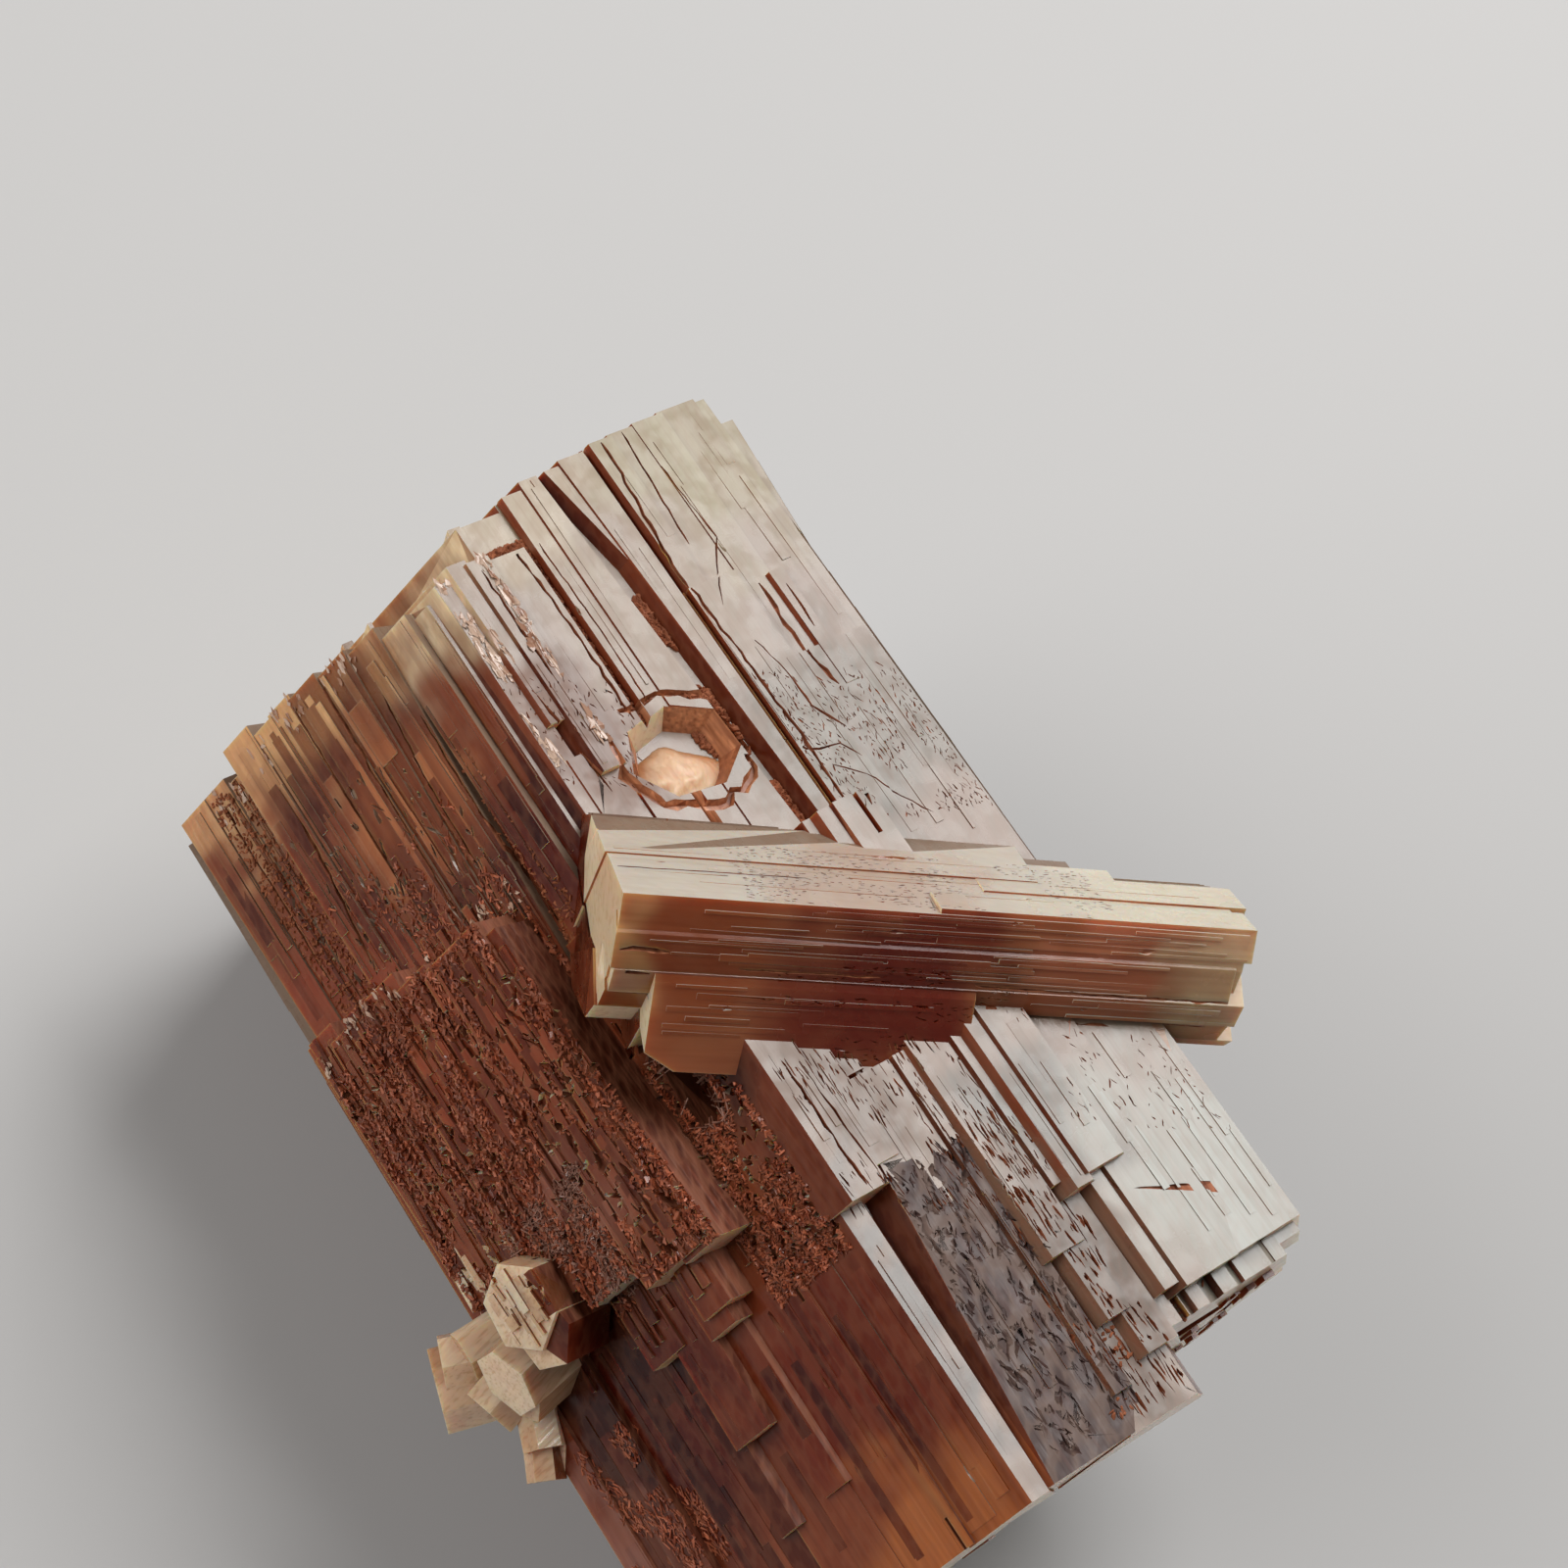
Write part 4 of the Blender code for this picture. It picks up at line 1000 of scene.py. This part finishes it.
# Cracks and clay-filled seams: facet, points (along, across), width, depth.
CRACKS = (
    Crack("top", ((4.1, 4.6), (3.9, 6.6), (5.0, 8.6), (7.0, 9.0), (8.9, 8.2), (9.4, 6.2),
                  (8.6, 3.9), (6.6, 3.2), (4.8, 3.7)), 0.42, 0.3, 0.5, "rim"),
    Crack("top", ((-7.4, 7.9), (-2.0, 8.2), (3.3, 8.5), (6.8, 8.6)), 0.12, 0.12),
    Crack("top", ((-7.6, 11.2), (-5.0, 11.0), (-1.0, 10.6), (3.0, 10.7), (7.8, 10.9),
                  (12.8, 10.8)), 0.16, 0.14, 0.6),
    Crack("top", ((-4.5, 4.8), (-1.3, 5.0), (4.6, 5.0)), 0.14, 0.16, 0.6),
    Crack("top", ((-4.4, 6.05), (0.0, 6.15), (4.0, 6.1)), 0.08, 0.12),
    Crack("top", ((-7.8, 12.4), (-4.0, 12.1), (-1.7, 11.9)), 0.1, 0.14),
    Crack("top", ((1.2, 13.6), (3.4, 13.5), (5.3, 13.6), (6.9, 13.8)), 0.2, 0.14, 0.6),
    Crack("top", ((1.8, 14.6), (4.1, 14.5)), 0.12, 0.1),
    Crack("top", ((3.6, 11.7), (5.0, 12.0), (5.9, 12.1), (7.3, 12.1), (9.0, 13.0)), 0.1, 0.12,
          0.7),
    Crack("top", ((8.0, 10.2), (8.9, 10.7), (9.2, 11.2), (9.3, 12.2), (10.2, 12.7)), 0.09, 0.12,
          0.7),
    Crack("top", ((10.0, 11.3), (11.0, 12.4), (12.5, 13.2), (13.7, 14.0)), 0.08, 0.1, 0.7),
    Crack("top", ((-6.0, 13.0), (-3.4, 13.1), (-1.5, 13.2), (0.7, 11.8), (1.6, 11.4)), 0.07,
          0.12, 0.6),
    Crack("top", ((-4.0, 2.9), (1.5, 2.9)), 0.12, 0.2, 0.6),
    Crack("top", ((2.0, 1.9), (7.0, 2.4)), 0.12, 0.2, 0.6),
    Crack("top", ((20.5, 1.5), (25.9, 1.6)), 0.14, 0.35, 0.6),
    Crack("top", ((20.5, 2.1), (25.6, 2.3)), 0.1, 0.35, 0.6),
    Crack("front", ((-1.0, 10.9), (2.0, 11.2), (5.7, 11.7)), 0.14, 0.3),
    Crack("front", ((-5.0, 6.4), (1.0, 6.6), (7.0, 6.8)), 0.12, 0.25),
    Crack("front", ((-3.0, 4.1), (1.0, 4.6), (8.0, 4.9)), 0.1, 0.25),
    Crack("front", ((-5.0, 8.2), (4.0, 8.4)), 0.1, 0.2),
    Crack("front", ((-4.5, 14.4), (4.7, 14.5)), 0.12, 0.25),
    Crack("front", ((-0.5, 3.2), (2.5, 3.3), (10.4, 3.4)), 0.1, 0.25),
    Crack("bar_top", ((0.3, 2.3), (7.8, 2.4)), 0.09, 0.14),
    Crack("bar_front", ((5.0, 1.0), (10.6, 1.0)), 0.07, 0.14),
    Crack("bar_front", ((14.5, 1.1), (25.2, 1.2)), 0.09, 0.2),
    Crack("bar_front", ((0.3, 0.5), (2.2, 0.5)), 0.2, 0.5),
    Crack("bar_front", ((0.2, 1.4), (1.6, 1.4)), 0.22, 0.5),
    Crack("bar_front", ((1.0, 2.6), (24.8, 2.7)), 0.06, 0.14),
    Crack("bar_front", ((18.0, 3.6), (25.4, 3.5)), 0.1, 0.2),
)

# Small crystals that roughen the overgrowth and the hollow beside it.
CRUST = (
    Field("front", 8.5, 24.0, 3.8, 16.2, 4200, (0.08, 0.36), (0.04, 0.12), (0.03, 0.11),
          yaw=60.0, tilt=30.0, rises=(-0.6, 2.15), patch=-0.2),
    Field("front", 17.0, 27.5, 0.2, 4.2, 2200, (0.08, 0.3), (0.03, 0.09), (0.03, 0.1),
          yaw=90.0, tilt=34.0, rises=(-2.5, 2.15), patch=-0.3),
    Field("front", 2.5, 8.5, 4.0, 13.0, 500, (0.1, 0.4), (0.03, 0.09), (0.02, 0.06),
          yaw=60.0, tilt=20.0, bias=0.7, patch=0.0),
    Field("front", 27.0, 38.0, 12.5, 16.8, 900, (0.1, 0.5), (0.03, 0.08), (0.02, 0.06),
          yaw=40.0, tilt=20.0, patch=0.0),
)

# Broken scales along the head's edge and in the shattered stretch of the top. Their pale, smooth
# finish is partly the scales' own whiteness and partly painted glints.
FLAKES = (
    Field("top", -4.8, 5.0, 1.0, 3.4, 150, (0.2, 1.3), (0.06, 0.3), (0.005, 0.03),
          yaw=5.0, tilt=2.0, patch=0.0),
    Field("front", -5.7, -3.9, 0.6, 16.6, 60, (0.15, 0.8), (0.06, 0.2), (0.02, 0.05),
          yaw=6.0, tilt=6.0, patch=0.0),
    Field("front", 7.2, 8.4, 3.8, 16.2, 70, (0.12, 0.5), (0.06, 0.2), (0.03, 0.1),
          yaw=30.0, tilt=16.0, patch=0.0),
)

NEEDLES = (
    Field("front", 16.4, 20.6, 1.1, 2.9, 200, (0.4, 1.2), (0.02, 0.05), (0.02, 0.05),
          yaw=90.0, tilt=50.0),
    Field("front", 18.5, 23.5, 7.0, 12.5, 900, (0.15, 0.6), (0.02, 0.05), (0.02, 0.06),
          yaw=90.0, tilt=50.0, rises=(-0.6, 2.15), patch=-0.1),
)

# Clay that has settled in the grooves, on the ledges and in the steps' corners.
CLAY = (
    Field("top", -7.8, 12.5, 7.6, 10.6, 2600, (0.15, 0.55), (0.12, 0.34), (0.08, 0.22),
          yaw=80.0, tilt=20.0, rises=(-1.6, -0.12), patch=-0.1),
    Field("top", -5.0, 6.0, 4.0, 6.6, 700, (0.15, 0.5), (0.1, 0.3), (0.06, 0.2),
          yaw=80.0, tilt=20.0, rises=(-1.0, -0.2), patch=-0.1),
    Field("top", 24.0, 38.0, 5.0, 16.0, 500, (0.1, 0.4), (0.06, 0.2), (0.03, 0.1),
          yaw=80.0, tilt=20.0, rises=(-1.5, 0.3), patch=0.1),
    Field("front", -5.0, 11.0, 2.0, 15.0, 900, (0.1, 0.4), (0.05, 0.16), (0.04, 0.12),
          yaw=80.0, tilt=20.0, rises=(-2.0, -0.3)),
)

class Crystal:
    """The crystal itself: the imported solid's copy with all its relief."""

    relief_seed = 7
    crack_seed = 23
    chip_seed = 31
    chip_sets = 4
    body_finishes = ("stone_side", "stone_top", "etched", "ledge", "bar_side", "bar_top",
                     "stone_end", "small_crystal", "small_end", "clay", "rim")

    def __init__(self, finishes: dict[str, bpy.types.Material],
                 trees: dict[Form, FormTree]) -> None:
        """Copies the node's mesh and merges its loose triangles."""
        self.finishes = finishes
        self.trees = trees
        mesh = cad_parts[NODE].data.copy()
        shape = bmesh.new()
        shape.from_mesh(mesh)
        bmesh.ops.remove_doubles(shape, verts=shape.verts[:], dist=1e-7)
        shape.to_mesh(mesh)
        shape.free()
        mesh.materials.clear()
        mesh.materials.append(finishes["stone_side"])
        self.item = bpy.data.objects.new("crystal", mesh)
        bpy.context.scene.collection.objects.link(self.item)

    def grow_lamellae(self) -> None:
        """Joins the thin lamellae on, set by set."""
        layout = Layout(Surface(self.item.data), self.relief_seed)
        for number, field in enumerate(LAMELLAE):
            for index, placements in enumerate(layout.spread(field)):
                if placements:
                    added = self.trees[Form.SLAB].realise(
                        f"lamellae_{number}_{index}", placements, self.finishes["stone_side"])
                    cut_or_join(self.item, added, "UNION")

    def open_cracks(self) -> None:
        """Cuts the cracks and seams."""
        source = random.Random(self.crack_seed)
        surface = Surface(self.item.data)
        for number, crack in enumerate(CRACKS):
            cutter = crack_cutter(f"crack_{number}", crack, surface, source,
                                  self.finishes[crack.finish])
            if cutter is not None:
                cut_or_join(self.item, cutter, "DIFFERENCE")

    def dissolve_pits(self) -> None:
        """Cuts the dissolved pits."""
        layout = Layout(Surface(self.item.data), self.relief_seed + 1)
        for number, field in enumerate(PITS):
            for index, placements in enumerate(layout.spread(field, on_flat=False, wear=0.55)):
                if placements:
                    cutter = self.trees[Form.PRISM].realise(
                        f"pits_{number}_{index}", placements, self.finishes[field.finish],
                        sides=7, inner_share=0.45, seed=number * 9 + index)
                    cut_or_join(self.item, cutter, "DIFFERENCE")

    def chip_edges(self, count: int = 120, least_rise: float = 2.0) -> None:
        """Breaks small chips out of the sharp outer edges.

        Args:
            count: how many chips.
            least_rise: how far above the resting face they stay, in millimetres.
        """
        source = random.Random(self.chip_seed)
        shape = bmesh.new()
        shape.from_mesh(self.item.data)
        shape.edges.ensure_lookup_table()
        edges = [edge for edge in shape.edges
                 if len(edge.link_faces) == 2 and edge.is_convex
                 and edge.calc_face_angle(0.0) > 0.5 and edge.calc_length() > 0.6 * MM
                 and min(vert.co.z for vert in edge.verts) > least_rise * MM]
        weights = [edge.calc_length() for edge in edges]
        picked = source.choices(edges, weights, k=count)
        sets: list[list[Placement]] = [[] for _ in range(self.chip_sets)]
        for number, edge in enumerate(picked):
            start, end = (vert.co for vert in edge.verts)
            centre = start.lerp(end, source.random())
            outward = (edge.link_faces[0].normal + edge.link_faces[1].normal).normalized()
            radius = source.uniform(0.05, 0.17) * MM
            size = Vector((radius * source.uniform(1.5, 4.5), radius, radius))
            axis = (end - start).normalized()
            basis = Matrix((axis, outward.cross(axis), outward)).transposed()
            place = Placement(centre + outward * radius * 0.55, size, basis.to_euler(),
                              source.random(), radius * 0.4)
            group = sets[number % len(sets)]
            if all((place.centre - other.centre).length > place.size.x + other.size.x + radius
                   for other in group):
                group.append(place)
        shape.free()
        for index, placements in enumerate(sets):
            cutter = self.trees[Form.GRAIN].realise(f"chips_{index}", placements,
                                                    self.finishes["stone_side"], seed=index)
            cut_or_join(self.item, cutter, "DIFFERENCE")

    def dress(self) -> None:
        """Gives each face the finish of its kind and a tone of its own plane."""
        mesh = self.item.data
        kept = {index: material.name for index, material in enumerate(mesh.materials)}
        chosen = []
        tones = []
        for polygon in mesh.polygons:
            name = kept[polygon.material_index]
            centre = polygon.center / MM
            if name == "stone_side":
                name = self._kind(centre, polygon.normal)
            chosen.append(self.body_finishes.index(name))
            plane = (*(round(value, 1) for value in polygon.normal),
                     round(polygon.normal.dot(centre) / 0.03))
            tones.append(random.Random(str(plane)).random())
        mesh.materials.clear()
        for name in self.body_finishes:
            mesh.materials.append(self.finishes[name])
        mesh.polygons.foreach_set("material_index", np.array(chosen, dtype=np.int32))
        layer = mesh.attributes.get("tone")
        if layer is not None:
            mesh.attributes.remove(layer)
        layer = mesh.attributes.new("tone", "FLOAT", "FACE")
        layer.data.foreach_set("value", np.array(tones, dtype=np.float32))
        mesh.update()

    def _kind(self, centre: Vector, normal: Vector) -> str:
        """Says which finish a face has, from its place in millimetres and its normal."""
        away = centre + Vector((ORIGIN_ALONG, 0.0, 0.0)) - Vector(BAR_CORNER)
        distance = away.dot(BAR_AXIS)
        front = Vector((BAR_AXIS.y, -BAR_AXIS.x, 0.0))
        ahead = away.dot(front)
        # Upward faces behind the second prism get the top finish, with its painted sheen.
        if ahead < -4.0 and normal.z > 0.6 and away.z < -2.0:
            return "stone_top"
        in_section = -7.2 < ahead < 5.0 and away.z > -4.95 + max(0.0, -ahead - 4.0) * 1.4
        over_top = away.z > -3.0 or normal.dot(front) > 0.3 or normal.z > 0.4 or abs(
            normal.dot(BAR_AXIS)) > 0.8
        if -0.6 < distance < 27.0 and in_section and over_top:
            # Upward faces of the main top under the second prism's front get the top finish, with
            # its painted sheen.
            if away.z < -2.6 and abs(normal.x) < 0.1 and ahead > 2.6:
                return "stone_top" if normal.z > 0.9 else "stone_side"
            if abs(normal.dot(BAR_AXIS)) > 0.8:
                return "stone_end"
            # The second prism's upward faces get the paler top finish, with its painted sheen.
            return "bar_top" if normal.dot(FACETS["bar_top"].outward) > 0.9 else "bar_side"
        if centre.y < -15.8 and 3.0 < centre.x < 13.5 and centre.z < 23.0 and ahead > 0.0:
            if normal.dot(SMALL_END) > 0.94:
                return "small_end"
            on_front = abs(normal.dot(FACETS["front"].outward)) > 0.97
            return "stone_side" if on_front and centre.y > -16.9 else "small_crystal"
        if abs(normal.x) > 0.8:
            return "stone_end"
        if centre.y < -8.9 and normal.z > 0.75:
            return "ledge"
        across = centre.y + SIDE / 2.0
        rise = centre.z - 2.0 * APOTHEM
        in_pit = (abs(centre.x + ORIGIN_ALONG - 6.9) < 2.9 and abs(across - 6.1) < 3.1
                  and -2.5 < rise < -0.1)
        if in_pit:
            return "rim"
        # Faces that point straight up on the top get the top finishes, which are lighter for
        # painted sheen.
        if normal.z < 0.9 or centre.z < 28.0:
            return "stone_side"
        in_etched = 11.0 < centre.x < 23.5 and 2.0 < across < 6.6 and 0.2 < rise < 0.8
        return "etched" if in_etched else "stone_top"


@dataclass(frozen=True)
class PitFilling:
    """The pale filling of the top's pit, a low bumpy dome, in millimetres on that facet."""

    along: float = 7.6
    across: float = 5.6
    half_length: float = 1.9
    half_width: float = 2.2
    floor: float = -1.3
    rise: float = 0.95
    rings: int = 12
    around: int = 48
    unevenness: float = 0.16

    def build(self, finish: bpy.types.Material) -> bpy.types.Object:
        """Makes the dome as a closed mesh, with a tone that grows towards its edge.

        Args:
            finish: its material.

        Returns:
            The piece.
        """
        facet = FACETS["top"]
        shape = bmesh.new()
        tone = shape.verts.layers.float.new("tone")
        middle = shape.verts.new(facet.point(self.along, self.across, self.floor + self.rise))
        rings = [[middle] * self.around]
        for ring in range(1, self.rings + 1):
            share = ring / self.rings
            row = []
            for step in range(self.around):
                angle = 2.0 * math.pi * step / self.around
                way = Vector((math.cos(angle), math.sin(angle), 0.0))
                reach = share * (1.0 + 0.28 * noise.noise(way * 1.6))
                bumps = noise.noise(way * share * 4.0) * self.unevenness * (1.0 - share ** 4)
                height = self.floor + self.rise * (1.0 - share ** 2) + bumps
                vert = shape.verts.new(facet.point(self.along + way.x * reach * self.half_length,
                                                   self.across + way.y * reach * self.half_width,
                                                   height))
                vert[tone] = share ** 2
                row.append(vert)
            rings.append(row)
        for inner, outer in zip(rings, rings[1:]):
            for step in range(self.around):
                following = (step + 1) % self.around
                corners = [inner[step], outer[step], outer[following], inner[following]]
                shape.faces.new(list(dict.fromkeys(corners))).smooth = True
        shape.faces.new(rings[-1])
        bmesh.ops.recalc_face_normals(shape, faces=shape.faces[:])
        mesh = bpy.data.meshes.new("pit_filling")
        shape.to_mesh(mesh)
        shape.free()
        mesh.materials.append(finish)
        item = bpy.data.objects.new("pit_filling", mesh)
        bpy.context.scene.collection.objects.link(item)
        return item


class Growth:
    """Small crystals, flakes and needles that stand on the crystal's surface."""

    seed = 57

    def __init__(self, surface: Surface, finishes: dict[str, bpy.types.Material],
                 trees: dict[Form, FormTree]) -> None:
        """Keeps what the pieces stand on."""
        self.layout = Layout(surface, self.seed)
        self.finishes = finishes
        self.trees = trees

    def piece(self, name: str, fields: tuple[Field, ...], form: Form, finish: str,
              wear: float) -> bpy.types.Object:
        """Makes one piece of all the forms of some fields.

        Args:
            name: the piece's name.
            fields: where its forms stand.
            form: what they are.
            finish: the name of their finish.
            wear: how uneven their corners are.

        Returns:
            The piece.
        """
        placements: list[Placement] = []
        for field in fields:
            for part in self.layout.spread(field, on_flat=False, apart=False, wear=wear):
                placements.extend(part)
        return self.trees[form].realise(name, placements, self.finishes[finish], seed=3)


def add_light(name: str, towards: tuple[float, float, float], distance: float, size: float,
              power: float, mirrored: bool = True) -> None:
    """Adds a square softbox that looks at the crystal's middle.

    Args:
        name: the light's name.
        towards: direction from the crystal to the light.
        distance: how far off it is, in metres.
        size: its side, in metres.
        power: its power, in watts.
        mirrored: whether gloss shows its image.
    """
    middle = Vector((0.0, 0.0, 20.0 * MM))
    data = bpy.data.lights.new(name, "AREA")
    data.shape = "SQUARE"
    data.size = size
    data.energy = power
    item = bpy.data.objects.new(name, data)
    bpy.context.scene.collection.objects.link(item)
    direction = Vector(towards).normalized()
    item.location = middle + direction * distance
    item.rotation_euler = direction.to_track_quat("Z", "Y").to_euler()
    item.visible_glossy = mirrored


def add_camera() -> None:
    """Adds the camera at the photo's viewing angle."""
    right = Vector((0.545, 0.791, 0.279)).normalized()
    back = Vector((0.2924, -0.4911, 0.8206)).normalized()
    upward = back.cross(right).normalized()
    right = upward.cross(back).normalized()
    data = bpy.data.cameras.new("camera")
    data.sensor_width = 36.0
    data.lens = 67.5
    data.clip_start = 1.0 * MM
    item = bpy.data.objects.new("camera", data)
    bpy.context.scene.collection.objects.link(item)
    turn = Matrix((right, upward, back)).transposed().to_4x4()
    item.matrix_world = Matrix.Translation((0.02959, -0.05788, 0.12720)) @ turn
    bpy.context.scene.camera = item


def add_floor() -> None:
    """Adds the pale floor."""
    shape = bmesh.new()
    bmesh.ops.create_grid(shape, x_segments=2, y_segments=2, size=1.5)
    mesh = bpy.data.meshes.new("floor")
    shape.to_mesh(mesh)
    shape.free()
    floor = bpy.data.objects.new("floor", mesh)
    bpy.context.scene.collection.objects.link(floor)
    material = bpy.data.materials.new("floor")
    material.use_nodes = True
    shader = material.node_tree.nodes["Principled BSDF"]
    shader.inputs["Base Color"].default_value = (0.60, 0.59, 0.58, 1.0)
    shader.inputs["Roughness"].default_value = 0.9
    shader.inputs["Specular IOR Level"].default_value = 0.2
    mesh.materials.append(material)


def light_studio() -> None:
    """Sets up the softboxes and the plain surround."""
    add_light("key", (-0.21, 0.50, 0.84), 0.40, 0.26, 1.4)
    add_light("fill", (-0.45, -0.85, 0.55), 0.60, 0.50, 2.1, mirrored=False)
    world = bpy.data.worlds.new("studio")
    world.use_nodes = True
    background = world.node_tree.nodes["Background"]
    background.inputs["Color"].default_value = (1.0, 0.98, 0.95, 1.0)
    background.inputs["Strength"].default_value = 0.13
    scene = bpy.context.scene
    scene.world = world
    scene.cycles.max_bounces = 3
    scene.cycles.diffuse_bounces = 1
    scene.cycles.glossy_bounces = 1
    scene.cycles.use_light_tree = False
    scene.cycles.debug_use_spatial_splits = True
    scene.view_settings.view_transform = "Standard"


def triangles(item: bpy.types.Object) -> int:
    """Counts a piece's triangles."""
    return sum(len(polygon.vertices) - 2 for polygon in item.data.polygons)


def main() -> None:
    """Builds the crystal, its small growths and the studio."""
    logging.basicConfig(level=logging.INFO, format="%(name)s: %(message)s")
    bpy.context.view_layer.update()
    groups = {"place": place_group(), "streaks": streak_group(), "etching": etch_group(),
              "zone": zone_group()}
    finishes = {finish.name: finish.build(groups) for finish in FINISHES}
    trees = {form: FormTree(form) for form in Form}
    crystal = Crystal(finishes, trees)
    crystal.grow_lamellae()
    crystal.open_cracks()
    crystal.dissolve_pits()
    crystal.chip_edges()
    crystal.dress()
    growth = Growth(Surface(crystal.item.data), finishes, trees)
    pieces = [
        crystal.item,
        growth.piece("crust", CRUST, Form.SLAB, "crust", 0.5),
        # The flakes' finish carries painted glints.
        growth.piece("flakes", FLAKES, Form.PRISM, "broken_with_painted_glints", 0.7),
        growth.piece("needles", NEEDLES, Form.SLAB, "needle", 0.2),
        growth.piece("clay_grains", CLAY, Form.GRAIN, "clay", 0.4),
        PitFilling().build(finishes["pit_filling"]),
    ]
    for piece in pieces:
        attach(piece, BODY)
        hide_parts(NODE)
        LOG.info("%s: %d triangles", piece.name, triangles(piece))
    add_floor()
    light_studio()
    add_camera()


if __name__ == "__main__":
    main()
